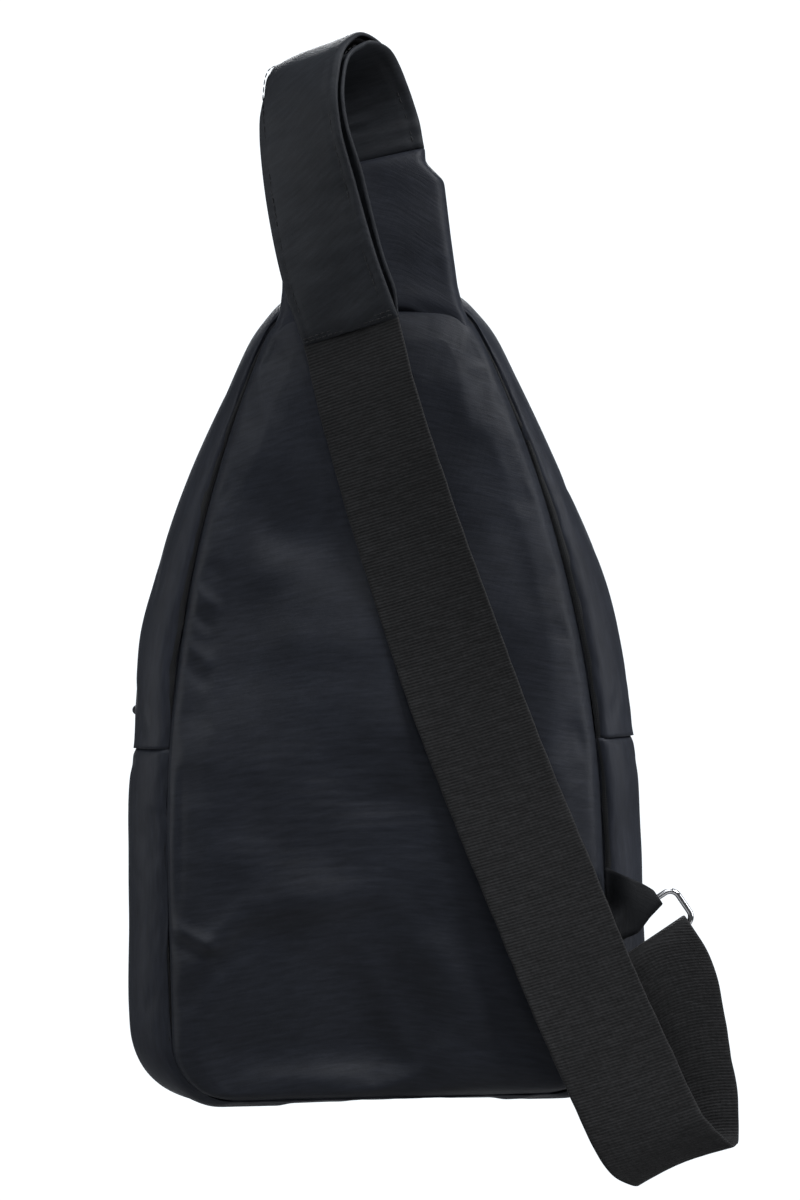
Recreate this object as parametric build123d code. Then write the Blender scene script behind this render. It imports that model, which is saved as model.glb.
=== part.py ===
from build123d import *

import math
import os
from typing import NamedTuple

# Teardrop sling bag, hanging from the fold at the top of its shoulder strap.
# Everything is drawn in bag coordinates, in millimetres: X is across the bag from its centre
# line, Y runs from the wearer's back (negative) to the front pocket (positive), and Z is the
# height above the bag's base. At the end every piece is moved so that the origin is the
# point on the inside of the strap's top fold where a hook bears.

HOOK_POINT = (-18.5, -47.0, 416.0)


class Outline(NamedTuple):
    """A teardrop seen from the back: a flat base, rounded feet, long side arcs, a rounded top."""

    half_width: float
    side_radius: float
    side_start: float
    foot_radius: float
    base: float
    top: float
    top_radius: float


# ---- the body -------------------------------------------------------------------------------
BACK_SEAM = Outline(88, 510, 100, 24, 1.5, 320, 20)
WIDEST = Outline(105, 375, 110, 30, 0, 330, 22)
ZIP_LINE = Outline(100, 370, 110, 25, 0, 325, 17)
FRONT_SEAM = Outline(91, 361, 110, 24, 3, 312, 16)

BACK_Y = -36.0
WIDEST_Y = -14.0
ZIP_REAR_Y = 0.0
ZIP_FRONT_Y = 22.0
FRONT_Y = 44.0
FRONT_TOP_Y = 27.0
FRONT_LEAN = math.degrees(math.atan2(FRONT_Y - FRONT_TOP_Y, 330.0))

COVER = 1.0
LINING = 0.6
LINING_GAP = 0.2
BACK_FOAM = 4.0
GUSSET_SEAM_Z = 144.0
BINDING_WIDTH = 4.0
BINDING = 1.5
BINDING_INSET = 3.0
POCKET_DEPTH = 9.0
POCKET_LINING_GAP = 1.0
POCKET_INSET = 2.0

# ---- zip fasteners --------------------------------------------------------------------------
ZIP_Y = 11.0
TAPE = 0.8
COIL = 1.4
COIL_WIDTH = 3.0
CHAIN_GAP = 1.2
TAPE_SETBACK = 1.6
RUN_GAP = 0.3
SLIDER_LENGTH = 12.0
SLIDER_WIDTH = 9.0
SLIDER_CORNER = 2.5
SLIDER_PLATE = 1.4
SLIDER_POST = 0.8
EAR_LENGTH = 2.4
PIVOT_RISE = 2.5
PIVOT_RADIUS = 0.8
PIVOT_SPAN = 7.0
PULL_WIDTH = 5.0
PULL_LENGTH = 26.0
PULL_THICKNESS = 1.6
PULL_CORNER = 1.2
WINDOW_LENGTH = 6.0
WINDOW_WIDTH = 2.4
WINDOW_MARGIN = 3.0
EYE_RADIUS = 2.1
EYE_CLEARANCE = 0.35
END_TAB = 6.5
STOP = 2.5
MAIN_SLIDER_Z = 158.0
FRONT_ZIP_HEIGHT = 205.0
FRONT_ZIP_HALF = 6.0
FRONT_ZIP_REACH = 76.0
FRONT_SLIDER_X = 64.0

# ---- the yoke above the back panel ----------------------------------------------------------
YOKE_THICKNESS = 7.0
YOKE_RIGHT = [(36, 318), (34.8, 327), (30.7, 369.7), (23.2, 377.3)]
YOKE_LEFT = [(-26, 369), (-34.7, 362), (-38.4, 327), (-38, 318)]

# ---- the strap ------------------------------------------------------------------------------
STRAP_WIDTH = 44.5
WEBBING = 1.8
PAD_COVER = 1.0
PAD_FOAM = 3.5

# Each station of the strap is its centre (x, y, z), how far its right edge turns towards the
# wearer, and how far that edge slopes upwards, in degrees.
PAD_STATIONS = [
    (1.5, -32.5, 378.7, 0, 11),
    (-1.5, -32.5, 392, 3, 12),
    (-5.5, -35, 404, 11, 14),
    (-11.5, -39.5, 414.5, 22, 16),
    (-18.5, -47, 419, 33, 15),
    (-23.5, -54, 415, 39, 9),
    (-26, -57.5, 403, 42.5, 1),
    (-25.5, -58, 388.5, 42.5, -3),
    (-21.5, -58, 361, 35, 2),
    (-15.5, -56.5, 332, 30, 8),
    (-8, -54.5, 308, 29, 13.5),
]
WEBBING_STATIONS = [
    (-2.5, -53, 282, 28, 15),
    (9.5, -50.5, 238, 21, 17),
    (21, -49, 201, 14, 18),
    (33.5, -48, 162, 5, 17.5),
    (46, -48.5, 127, 2, 18),
    (62.5, -51.5, 84, -2, 20),
    (78, -54.5, 43, -4, 20.5),
    (91.2, -57, 12, -4, 22),
    (99.3, -58, -7, -3, 23),
    (104.8, -57.4, -17.5, -1, 24.5),
    (113.5, -52, -26, 0, 20),
    (115.2, -47, -20, 0, 14),
    (116.3, -45, -5, 0, 9),
    (113.8, -45, 15, 0, 6.5),
    (111.3, -46, 32, 0, 12),
    (108.6, -47, 46, 0, 22),
]

# ---- the ring and its tab -------------------------------------------------------------------
RING_WIRE = 2.4
RING_LENGTH = 49.2
RING_HEIGHT = 15.5
RING_CORNER = 4.0
RING_CENTRE = (98.0, -43.5, 64.5)
RING_SLOPE = 32.5
LOOP_GAP = 3.1
TAB_LAYER = 1.2
TAB_GAP = 1.9
TAB_SEAM_X = 88.4
TAB_OUTLINE = [(TAB_SEAM_X, 94), (101.8, 87.1), (110.6, 77.6), (98.5, 65), (TAB_SEAM_X, 60.5)]
TAB_SEWN = [(TAB_SEAM_X, 94), (101.8, 87.1), (105.6, 83.8), (TAB_SEAM_X, 72.7)]
TAB_ROOT_Z = (73.5, 93.0)

TALL = 900.0


def upright(y):
    """The vertical plane at depth y, with its local axes along X and Z."""
    return Plane(origin=(0, y, 0), x_dir=(1, 0, 0), z_dir=(0, -1, 0))


def front_plane(lift=0.0):
    """The leaning plane of the front seam. A positive lift is out of the bag."""
    lean = math.radians(FRONT_LEAN)
    out = Vector(0, math.cos(lean), math.sin(lean))
    return Plane(origin=Vector(0, FRONT_Y, 0) + out * lift, x_dir=(1, 0, 0), z_dir=out * -1)


def teardrop(plane, shape, inset=0.0):
    """The face inside an outline, drawn in from its edge by inset."""
    half = shape.half_width - inset
    side = shape.side_radius - inset
    foot = shape.foot_radius - inset
    cap = shape.top_radius - inset
    base = shape.base + inset
    top = shape.top - inset
    side_x = half - side
    cap_x = side_x + math.sqrt((side - cap) ** 2 - (top - cap - shape.side_start) ** 2)
    cap_angle = math.degrees(math.atan2(top - cap - shape.side_start, cap_x - side_x))

    def arc(x, z, radius, start, size):
        return CenterArc((x, z), radius, start, size)

    foot_z = base + foot
    edges = [
        Line((-(half - foot), base), (half - foot, base)),
        arc(half - foot, foot_z, foot, 270, 90),
        Line((half, foot_z), (half, shape.side_start)),
        arc(side_x, shape.side_start, side, 0, cap_angle),
        arc(cap_x, top - cap, cap, cap_angle, 90 - cap_angle),
        Line((cap_x, top), (-cap_x, top)),
        arc(-cap_x, top - cap, cap, 90, 90 - cap_angle),
        arc(-side_x, shape.side_start, side, 180 - cap_angle, cap_angle),
        Line((-half, shape.side_start), (-half, foot_z)),
        arc(-(half - foot), foot_z, foot, 180, 90),
    ]
    return plane * make_face(Wire(edges))


def polygon(plane, points):
    return plane * make_face(Polyline(*points, close=True))


def block(x, y, z):
    """A box between two limits along each axis."""
    size = [x[1] - x[0], y[1] - y[0], z[1] - z[0]]
    middle = Location(((x[0] + x[1]) / 2, (y[0] + y[1]) / 2, (z[0] + z[1]) / 2))
    return middle * Box(*size)


ABOVE_SEAM = block((-TALL, TALL), (-TALL, TALL), (GUSSET_SEAM_Z, TALL))
BELOW_SEAM = block((-TALL, TALL), (-TALL, TALL), (-TALL, GUSSET_SEAM_Z))


# ---- body shells ----------------------------------------------------------------------------
def rear_solid(inset=0.0):
    sections = [
        teardrop(upright(BACK_Y + COVER), BACK_SEAM, inset),
        teardrop(upright(WIDEST_Y), WIDEST, inset),
        teardrop(upright(ZIP_REAR_Y), ZIP_LINE, inset),
    ]
    return loft(sections, ruled=True)


def band_solid(inset=0.0, start=ZIP_REAR_Y, end=ZIP_FRONT_Y):
    return extrude(teardrop(upright(start), ZIP_LINE, inset), start - end)


def front_solid(inset=0.0):
    sections = [
        teardrop(upright(ZIP_FRONT_Y), ZIP_LINE, inset),
        teardrop(front_plane(), FRONT_SEAM, inset),
    ]
    return loft(sections, ruled=True)


def rear_wall():
    return rear_solid() - rear_solid(COVER)


def front_wall():
    return front_solid() - front_solid(COVER)


def lower_gusset():
    band = band_solid() - band_solid(COVER)
    return (rear_wall() & BELOW_SEAM) + (band & BELOW_SEAM) + (front_wall() & BELOW_SEAM)


def gusset_lining():
    """The lining behind the gussets, open along the zip."""
    near = COVER + LINING_GAP
    far = near + LINING
    slot = block((-TALL, TALL), (ZIP_REAR_Y - 1, ZIP_FRONT_Y + 1), (GUSSET_SEAM_Z - 1, TALL))
    back = block((-TALL, TALL), (-TALL, BACK_Y + COVER + BACK_FOAM + LINING), (-TALL, TALL))
    rear = rear_solid(near) - rear_solid(far) - slot - back
    band = band_solid(near) - band_solid(far) - slot
    front = front_solid(near) - front_solid(far) - slot
    return rear + band + front


FRONT_LINING_LIFT = -POCKET_DEPTH - 2 * LINING - POCKET_LINING_GAP


def back_plate(start, thickness, inset):
    return extrude(teardrop(upright(start), BACK_SEAM, inset), -thickness)


def front_plate(lift, thickness, inset):
    """A sheet parallel to the front seam, from lift outwards."""
    return extrude(teardrop(front_plane(lift), FRONT_SEAM, inset), -thickness)


def front_band(low, high, reach=TALL):
    """The part of space between two heights measured up the leaning front."""
    face = front_plane(-20) * Location((0, (low + high) / 2)) * Rectangle(2 * reach, high - low)
    return extrude(face, -40)


def front_panels():
    panel = front_plate(0, COVER, 0)
    lower = panel & front_band(-20, FRONT_ZIP_HEIGHT - FRONT_ZIP_HALF)
    upper = panel & front_band(FRONT_ZIP_HEIGHT + FRONT_ZIP_HALF, TALL)
    return lower, upper


def back_binding():
    start = BACK_Y + COVER + BACK_FOAM + LINING
    return back_plate(start, BINDING_WIDTH, BINDING_INSET) - back_plate(
        start, BINDING_WIDTH, BINDING_INSET + BINDING
    )


def front_binding():
    lift = FRONT_LINING_LIFT - BINDING_WIDTH
    return front_plate(lift, BINDING_WIDTH, BINDING_INSET) - front_plate(
        lift, BINDING_WIDTH, BINDING_INSET + BINDING
    )


# ---- main zip -------------------------------------------------------------------------------
def zip_ring(outer, inner, start, end, low=GUSSET_SEAM_Z):
    """A band round the top of the bag, between two insets from the zip line."""
    ring = band_solid(outer, start, end) - band_solid(inner, start, end)
    return ring & block((-TALL, TALL), (-TALL, TALL), (low, TALL))


def main_tapes():
    rear_end = ZIP_Y - TAPE_SETBACK
    front_start = ZIP_Y + TAPE_SETBACK
    return (
        zip_ring(0, TAPE, ZIP_REAR_Y, rear_end),
        zip_ring(0, TAPE, front_start, ZIP_FRONT_Y),
    )


def main_coils():
    low = GUSSET_SEAM_Z + END_TAB + 0.5
    half = CHAIN_GAP / 2
    return (
        zip_ring(-COIL, 0, ZIP_Y - half - COIL_WIDTH, ZIP_Y - half, low),
        zip_ring(-COIL, 0, ZIP_Y + half, ZIP_Y + half + COIL_WIDTH, low),
    )


def main_end_tabs():
    """The fabric tabs over the two ends of the main zip."""
    ring = zip_ring(-TAB_LAYER, 0, ZIP_REAR_Y + 1, ZIP_FRONT_Y - 1)
    return ring & block((-TALL, TALL), (-TALL, TALL), (GUSSET_SEAM_Z, GUSSET_SEAM_Z + END_TAB))


def slider_body():
    """A zip slider: its length along X, its width along Y, the tape's outer face at Z 0."""
    top = COIL + RUN_GAP
    bottom = -TAPE - RUN_GAP
    half = SLIDER_LENGTH / 2
    crown = extrude(RectangleRounded(SLIDER_LENGTH, SLIDER_WIDTH, SLIDER_CORNER), SLIDER_PLATE)
    upper = Location((0, 0, top)) * crown
    lower = Location((0, 0, bottom - SLIDER_PLATE)) * crown
    post = block((half - 4, half - 1), (-SLIDER_POST / 2, SLIDER_POST / 2), (bottom, top))
    body = upper + lower + post
    pivot_z = top + SLIDER_PLATE + PIVOT_RISE
    ear = PULL_WIDTH / 2 + RUN_GAP
    for side in (-1, 1):
        near, far = sorted((side * ear, side * (PIVOT_SPAN / 2 + 0.8)))
        ear_top = pivot_z + PIVOT_RADIUS + 0.2
        body += block((-EAR_LENGTH / 2, EAR_LENGTH / 2), (near, far), (top + SLIDER_PLATE, ear_top))
    body += Location((0, 0, pivot_z)) * Rot(90, 0, 0) * Cylinder(PIVOT_RADIUS, PIVOT_SPAN)
    return body


def pull_body():
    """A pull tab hanging along -X from its eye, which turns about Y at the origin."""
    eye = Rot(90, 0, 0) * Cylinder(EYE_RADIUS, PULL_WIDTH)
    half, thin = PULL_WIDTH / 2, PULL_THICKNESS / 2
    bar = block((-PULL_LENGTH, 0), (-half, half), (-thin, thin))
    bar = fillet(bar.edges().filter_by(Axis.Z), PULL_CORNER)
    window_end = WINDOW_MARGIN - PULL_LENGTH
    window = block(
        (window_end, window_end + WINDOW_LENGTH),
        (-WINDOW_WIDTH / 2, WINDOW_WIDTH / 2),
        (-PULL_THICKNESS, PULL_THICKNESS),
    )
    hole = Rot(90, 0, 0) * Cylinder(PIVOT_RADIUS + EYE_CLEARANCE, PULL_WIDTH * 2)
    return eye + bar - window - hole


PIVOT_LIFT = COIL + RUN_GAP + SLIDER_PLATE + PIVOT_RISE


def main_arc():
    """The centre of the zip's left side arc, its radius and the slider's angle on it."""
    centre = Vector(ZIP_LINE.side_radius - ZIP_LINE.half_width, ZIP_Y, ZIP_LINE.side_start)
    angle = math.degrees(math.asin((MAIN_SLIDER_Z - centre.Z) / ZIP_LINE.side_radius))
    return centre, ZIP_LINE.side_radius, angle


def on_left_side(radius, turn):
    """A place on the left side arc: local X runs up the zip and local Z points out of the bag."""
    centre, _, angle = main_arc()
    out = Vector(-math.cos(math.radians(angle)), 0, math.sin(math.radians(angle)))
    place = centre + out * radius
    up = Vector(math.sin(math.radians(turn)), 0, math.cos(math.radians(turn)))
    face = up.cross(Vector(0, 1, 0))
    return Plane(origin=place, x_dir=up, z_dir=face)


def main_slider():
    _, radius, angle = main_arc()
    return on_left_side(radius, angle) * slider_body()


def main_pull():
    _, radius, _ = main_arc()
    return on_left_side(radius + PIVOT_LIFT, 0) * pull_body()


# ---- front pocket zip -----------------------------------------------------------------------
def front_strip(low, high, lift, thickness, reach=TALL):
    """A level strip on the leaning front, kept inside the front seam."""
    sheet = front_plate(lift, thickness, COVER / 2)
    return sheet & front_band(FRONT_ZIP_HEIGHT + low, FRONT_ZIP_HEIGHT + high, reach)


def front_tapes():
    return (
        front_strip(-FRONT_ZIP_HALF, -TAPE_SETBACK, 0, TAPE),
        front_strip(TAPE_SETBACK, FRONT_ZIP_HALF, 0, TAPE),
    )


def front_coils():
    half = CHAIN_GAP / 2
    return (
        front_strip(-half - COIL_WIDTH, -half, TAPE, COIL, FRONT_ZIP_REACH - STOP - RUN_GAP),
        front_strip(half, half + COIL_WIDTH, TAPE, COIL, FRONT_ZIP_REACH - STOP - RUN_GAP),
    )


def front_stops():
    """The two end stops of the front zip."""
    strip = front_strip(-COIL_WIDTH, COIL_WIDTH, TAPE, COIL, FRONT_ZIP_REACH)
    return strip - front_strip(-COIL_WIDTH, COIL_WIDTH, TAPE, COIL, FRONT_ZIP_REACH - STOP)


def on_front(lift):
    """A place on the front zip: local X runs towards +X and local Z points out of the bag."""
    lean = math.radians(FRONT_LEAN)
    out = Vector(0, math.cos(lean), math.sin(lean))
    up = Vector(0, -math.sin(lean), math.cos(lean))
    place = Vector(FRONT_SLIDER_X, FRONT_Y, 0) + up * FRONT_ZIP_HEIGHT + out * (TAPE + lift)
    return Plane(origin=place, x_dir=(1, 0, 0), z_dir=out)


def front_slider():
    return on_front(0) * slider_body()


def front_pull():
    return on_front(PIVOT_LIFT) * pull_body()


# ---- strap ----------------------------------------------------------------------------------
def loop_stations():
    """The webbing's end, turned once round the ring's lower bar and laid against itself."""
    slope = math.radians(RING_SLOPE)
    up = Vector(-math.sin(slope), 0, math.cos(slope))
    bar = Vector(*RING_CENTRE) - up * (RING_HEIGHT / 2)
    radius = LOOP_GAP + WEBBING / 2
    stations = []
    for step in range(7):
        turn = math.radians(30 * step)
        place = bar + up * (radius * math.sin(turn)) + Vector(0, -radius * math.cos(turn), 0)
        stations.append((place.X, place.Y, place.Z, 0, RING_SLOPE))
    x, y, z, turn, slope = WEBBING_STATIONS[-1]
    stations.append((x, y + WEBBING + 0.2, z, turn, slope))
    return stations


STRAP_STATIONS = PAD_STATIONS + WEBBING_STATIONS + loop_stations()


def strap_frame(index):
    """The strap's centre, its direction across and its outward normal at a station."""
    x, y, z, turn, slope = STRAP_STATIONS[index]
    before = Vector(*STRAP_STATIONS[max(index - 1, 0)][:3])
    after = Vector(*STRAP_STATIONS[min(index + 1, len(STRAP_STATIONS) - 1)][:3])
    along = (after - before).normalized()
    turn, slope = math.radians(turn), math.radians(slope)
    level = math.cos(turn)
    across = Vector(level * math.cos(slope), -math.sin(turn), level * math.sin(slope))
    across = (across - along * across.dot(along)).normalized()
    return Vector(x, y, z), across, along.cross(across)


def ribbon(first, last, low, high):
    """A flat layer of the strap between two stations and two heights above its middle."""
    faces = []
    for index in range(first, last + 1):
        centre, across, out = strap_frame(index)
        reach = across * (STRAP_WIDTH / 2)
        corners = [
            centre - reach + out * low,
            centre + reach + out * low,
            centre + reach + out * high,
            centre - reach + out * high,
        ]
        faces.append(make_face(Wire(Polyline(*corners, close=True).edges())))
    return loft(faces, ruled=True)


PAD_END = len(PAD_STATIONS) - 1
STRAP_END = len(STRAP_STATIONS) - 1


# ---- yoke -----------------------------------------------------------------------------------
def yoke_layer(start, thickness):
    """One layer of the yoke, from the body's top to the padded strap's first seam."""
    centre, across, _ = strap_frame(0)
    ends = [centre + across * (STRAP_WIDTH / 2), centre - across * (STRAP_WIDTH / 2)]
    points = YOKE_RIGHT + [(end.X, end.Z) for end in ends] + YOKE_LEFT
    slab = extrude(polygon(upright(start), points), -thickness)
    return slab - rear_solid() - back_plate(BACK_Y, COVER, 0)


# ---- ring and tab ---------------------------------------------------------------------------
def ring_plane():
    slope = math.radians(RING_SLOPE)
    return Plane(
        origin=RING_CENTRE,
        x_dir=(math.cos(slope), 0, math.sin(slope)),
        z_dir=(0, -1, 0),
    )


def strap_ring():
    path = ring_plane() * RectangleRounded(RING_LENGTH, RING_HEIGHT, RING_CORNER)
    wire = path.face().outer_wire()
    start = Plane(origin=wire @ 0, z_dir=wire % 0)
    return sweep(start * Circle(RING_WIRE / 2), path=wire)


def ring_tab():
    """A folded tab: two layers sewn together above the ring's upper bar, joined round it below."""
    middle = RING_CENTRE[1]
    outer = TAB_GAP + TAB_LAYER
    sheet = extrude(polygon(upright(middle - outer), TAB_OUTLINE), -2 * outer)
    reach_in = block((TAB_SEAM_X - 1, TALL), (middle - TAB_GAP, middle + TAB_GAP), (0, TALL))
    fold = [TAB_OUTLINE[2], TAB_OUTLINE[3], TAB_OUTLINE[4]]
    lean = math.radians(RING_SLOPE + 17)
    inner = [(x - TAB_LAYER * math.sin(lean), z + TAB_LAYER * math.cos(lean)) for x, z in fold]
    edge = extrude(polygon(upright(middle - outer), fold + inner[::-1]), -2 * outer)
    sewn = extrude(polygon(upright(middle - outer), TAB_SEWN), -2 * outer)
    root_y = (middle + outer, BACK_Y + COVER + 0.2)
    root = block((TAB_SEAM_X, TAB_SEAM_X + TAB_LAYER), root_y, TAB_ROOT_Z)
    return (sheet - reach_in) + (edge & sheet) + sewn + root


# ---- all the pieces -------------------------------------------------------------------------
def pieces():
    panel_low, panel_high = front_panels()
    tape_rear, tape_front = main_tapes()
    coil_rear, coil_front = main_coils()
    tape_low, tape_high = front_tapes()
    coil_low, coil_high = front_coils()
    foam_start = BACK_Y + COVER
    pad = PAD_FOAM / 2
    return {
        "back_panel_cover": back_plate(BACK_Y, COVER, 0),
        "back_panel_foam": back_plate(foam_start, BACK_FOAM, COVER + LINING_GAP),
        "back_panel_lining": back_plate(foam_start + BACK_FOAM, LINING, COVER + LINING_GAP),
        "back_seam_binding": back_binding(),
        "lower_gusset": lower_gusset(),
        "rear_zip_gusset": rear_wall() & ABOVE_SEAM,
        "front_zip_gusset": front_wall() & ABOVE_SEAM,
        "gusset_lining": gusset_lining(),
        "front_panel_lower": panel_low,
        "front_panel_upper": panel_high,
        "front_pocket_backing": front_plate(-POCKET_DEPTH - LINING, LINING, POCKET_INSET),
        "front_panel_lining": front_plate(FRONT_LINING_LIFT, LINING, POCKET_INSET),
        "front_seam_binding": front_binding(),
        "main_zip_rear_tape": tape_rear,
        "main_zip_front_tape": tape_front,
        "main_zip_rear_coil": coil_rear,
        "main_zip_front_coil": coil_front,
        "main_zip_end_tabs": main_end_tabs(),
        "main_zip_slider": main_slider(),
        "main_zip_pull": main_pull(),
        "front_zip_lower_tape": tape_low,
        "front_zip_upper_tape": tape_high,
        "front_zip_lower_coil": coil_low,
        "front_zip_upper_coil": coil_high,
        "front_zip_end_stops": front_stops(),
        "front_zip_slider": front_slider(),
        "front_zip_pull": front_pull(),
        "yoke_rear_cover": yoke_layer(BACK_Y, COVER),
        "yoke_foam": yoke_layer(BACK_Y + COVER, YOKE_THICKNESS - 2 * COVER),
        "yoke_front_cover": yoke_layer(BACK_Y + YOKE_THICKNESS - COVER, COVER),
        "strap_pad_outer_cover": ribbon(0, PAD_END, pad, pad + PAD_COVER),
        "strap_pad_foam": ribbon(0, PAD_END, -pad, pad),
        "strap_pad_inner_cover": ribbon(0, PAD_END, -pad - PAD_COVER, -pad),
        "strap_webbing": ribbon(PAD_END, STRAP_END, -WEBBING / 2, WEBBING / 2),
        "ring_tab": ring_tab(),
        "strap_ring": strap_ring(),
    }


os.makedirs("parts", exist_ok=True)
to_hook = Location((-HOOK_POINT[0], -HOOK_POINT[1], -HOOK_POINT[2]))
for name, piece in pieces().items():
    export_step(to_hook * piece, os.path.join("parts", name + ".step"))
    print(f"{name}: {piece.volume / 1000:.2f} cm3")
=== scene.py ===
import math

import bmesh
import bpy
import numpy as np
from mathutils import Matrix, Vector


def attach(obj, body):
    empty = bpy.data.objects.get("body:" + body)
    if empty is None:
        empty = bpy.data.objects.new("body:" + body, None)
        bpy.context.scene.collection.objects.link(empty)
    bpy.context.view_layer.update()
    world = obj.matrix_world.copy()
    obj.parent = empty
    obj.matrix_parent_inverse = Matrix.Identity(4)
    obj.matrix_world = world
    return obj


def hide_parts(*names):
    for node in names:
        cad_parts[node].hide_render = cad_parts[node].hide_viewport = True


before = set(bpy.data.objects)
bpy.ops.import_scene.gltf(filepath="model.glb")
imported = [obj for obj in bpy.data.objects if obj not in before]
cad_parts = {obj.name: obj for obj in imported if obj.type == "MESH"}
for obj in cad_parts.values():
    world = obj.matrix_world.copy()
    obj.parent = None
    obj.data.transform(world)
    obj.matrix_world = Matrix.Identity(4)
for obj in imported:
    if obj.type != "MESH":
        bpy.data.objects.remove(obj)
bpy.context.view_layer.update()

# Every shape below is worked out in bag coordinates, in millimetres: X across the bag from its
# centre line, Y from the wearer's back to the front pocket, Z above the bag's base. HOOK_POINT
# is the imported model's origin in those coordinates.
HOOK_POINT = np.array((-18.5, -47.0, 416.0))
MM = 0.001
BACKWARD, FORWARD = (0, -1, 0), (0, 1, 0)
DEEP = np.array((0.0, 1.0, 0.0))

# Outlines: half width, side radius, side start, foot radius, base, top, top radius.
BACK_SEAM = (88, 510, 100, 24, 1.5, 320, 20)
WIDEST = (105, 375, 110, 30, 0, 330, 22)
ZIP_LINE = (100, 370, 110, 25, 0, 325, 17)
FRONT_SEAM = (91, 361, 110, 24, 3, 312, 16)

# Points on an outline's base, walls, foot arcs, side arcs below and above the gusset's cross
# seam, top corners and top.
BASE_POINTS, WALL_POINTS, FOOT_POINTS, LOW_SIDE_POINTS = 46, 26, 15, 14
SIDE_POINTS, CORNER_POINTS, TOP_POINTS = 60, 12, 16

# Depths of the back panel, its seam, the widest line, the main zip and the front at its foot.
BACK_Y, SEAM_Y, WIDEST_Y = -36.0, -33.6, -14.0
ZIP_REAR_Y, ZIP_Y, ZIP_FRONT_Y = 0.0, 11.0, 22.0
FRONT_Y = 44.0
FRONT_LEAN = math.atan2(17.0, 330.0)
GUSSET_SEAM_Z = 144.0
FRONT_ZIP_HEIGHT = 205.0
YOKE_Y = -32.5
MIDDLE_LOW, MIDDLE_HIGH = 35, 250  # the sides turn about a middle line between these heights
REAR_SPLIT = 0.62  # the widest line's share of the way from the back seam to the zip

# Thicknesses of cloth, the inner seams' binding, stitches, and the zips' teeth.
COVER, PAD_COVER, TAPE_CLOTH, LINER = 0.9, 0.7, 0.6, 0.5
BINDING_WIDTH, BINDING_THICKNESS, BINDING_INSET = 4.0, 1.5, 3.0
STITCH_PITCH, STITCH_LENGTH = 3.2, 2.5
TOOTH_PITCH, TOOTH_LENGTH, TOOTH_OUT = 1.7, 2.9, 0.55

# Strap stations: x, y, z, and how far the strap is turned and sloped there, in degrees.
STRAP_WIDTH = 44.5
WEBBING = 1.8
PAD_STITCH_IN = 4.2
PAD_STATIONS = [
    (1.5, -32.5, 378.7, 0, 11), (-1.5, -32.5, 392, 3, 12), (-5.5, -35, 404, 11, 14),
    (-11.5, -39.5, 414.5, 22, 16), (-18.5, -47, 419, 33, 15), (-23.5, -54, 415, 39, 9),
    (-26, -57.5, 403, 42.5, 1), (-25.5, -58, 388.5, 42.5, -3), (-21.5, -58, 361, 35, 2),
    (-15.5, -56.5, 332, 30, 8), (-8, -54.5, 308, 29, 13.5),
]
WEBBING_STATIONS = [
    (-2.5, -53, 282, 28, 15), (9.5, -50.5, 238, 21, 17), (21, -49, 201, 14, 18),
    (33.5, -48, 162, 5, 17.5), (46, -48.5, 127, 2, 18), (62.5, -51.5, 84, -2, 20),
    (78, -54.5, 43, -4, 20.5), (91.2, -57, 12, -4, 22), (99.3, -58, -7, -3, 23),
    (104.8, -57.4, -17.5, -1, 24.5), (113.3, -52, -24.3, 0, 22), (115.2, -47, -18.5, 0, 14),
    (116.3, -45, -5, 0, 9), (113.8, -45, 15, 0, 6.5), (111.3, -46, 32, 0, 12),
    (108.6, -47, 46, 0, 22),
]
# Numbers of the stations at the pad's end, at the top, and where the webbing folds over.
PAD_LAST, CREST, FOLD = len(PAD_STATIONS) - 1, 4, len(PAD_STATIONS) + 10
RING_CENTRE = np.array((98.0, -43.5, 64.5))
RING_SLOPE = math.radians(32.5)
RING_RIGHT = np.array((math.cos(RING_SLOPE), 0, math.sin(RING_SLOPE)))
RING_UP = np.array((-math.sin(RING_SLOPE), 0, math.cos(RING_SLOPE)))
RING_LENGTH, RING_HEIGHT, RING_CORNER, RING_WIRE = 49.2, 15.5, 4.0, 2.4
LOOP_RADIUS = 3.3


# ---- numbers ----
def unit(vectors):
    return vectors / np.maximum(np.linalg.norm(vectors, axis=-1, keepdims=True), 1e-9)


def tangents(path, closed=False):
    """Unit directions along a path."""
    if closed:
        return unit(np.roll(path, -1, axis=0) - np.roll(path, 1, axis=0))
    return unit(np.gradient(path, axis=0))


def run_lengths(path):
    """How far along a path each of its points is."""
    return np.concatenate([[0], np.cumsum(np.linalg.norm(np.diff(path, axis=0), axis=1))])


def sample(values, knots, at):
    """Values known at knots, interpolated at other lengths."""
    return np.stack([np.interp(at, knots, column) for column in values.T], -1)


def bell(value, centre, width):
    return np.exp(-(((value - centre) / width) ** 2))


def smoothstep(value, low, high):
    t = np.clip((value - low) / (high - low), 0, 1)
    return t * t * (3 - 2 * t)


def rounded(distance, radius):
    """0 at an edge, rising as a quarter circle to 1 at radius."""
    t = 1 - np.clip(distance / radius, 0, 1)
    return np.sqrt(np.maximum(0, 1 - t * t))


def bumps(a, b, size, seed, terms=14):
    """Smooth repeatable noise over two coordinates, about -1 to 1, with features of a size."""
    rng = np.random.default_rng(seed)
    total = np.zeros_like(np.asarray(a, float))
    for _ in range(terms):
        angle, phase = rng.uniform(0, 2 * math.pi, 2)
        wave = size * rng.uniform(0.7, 1.6)
        total += np.sin(2 * math.pi * (a * math.cos(angle) + b * math.sin(angle)) / wave + phase)
    return total / math.sqrt(terms)


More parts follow.
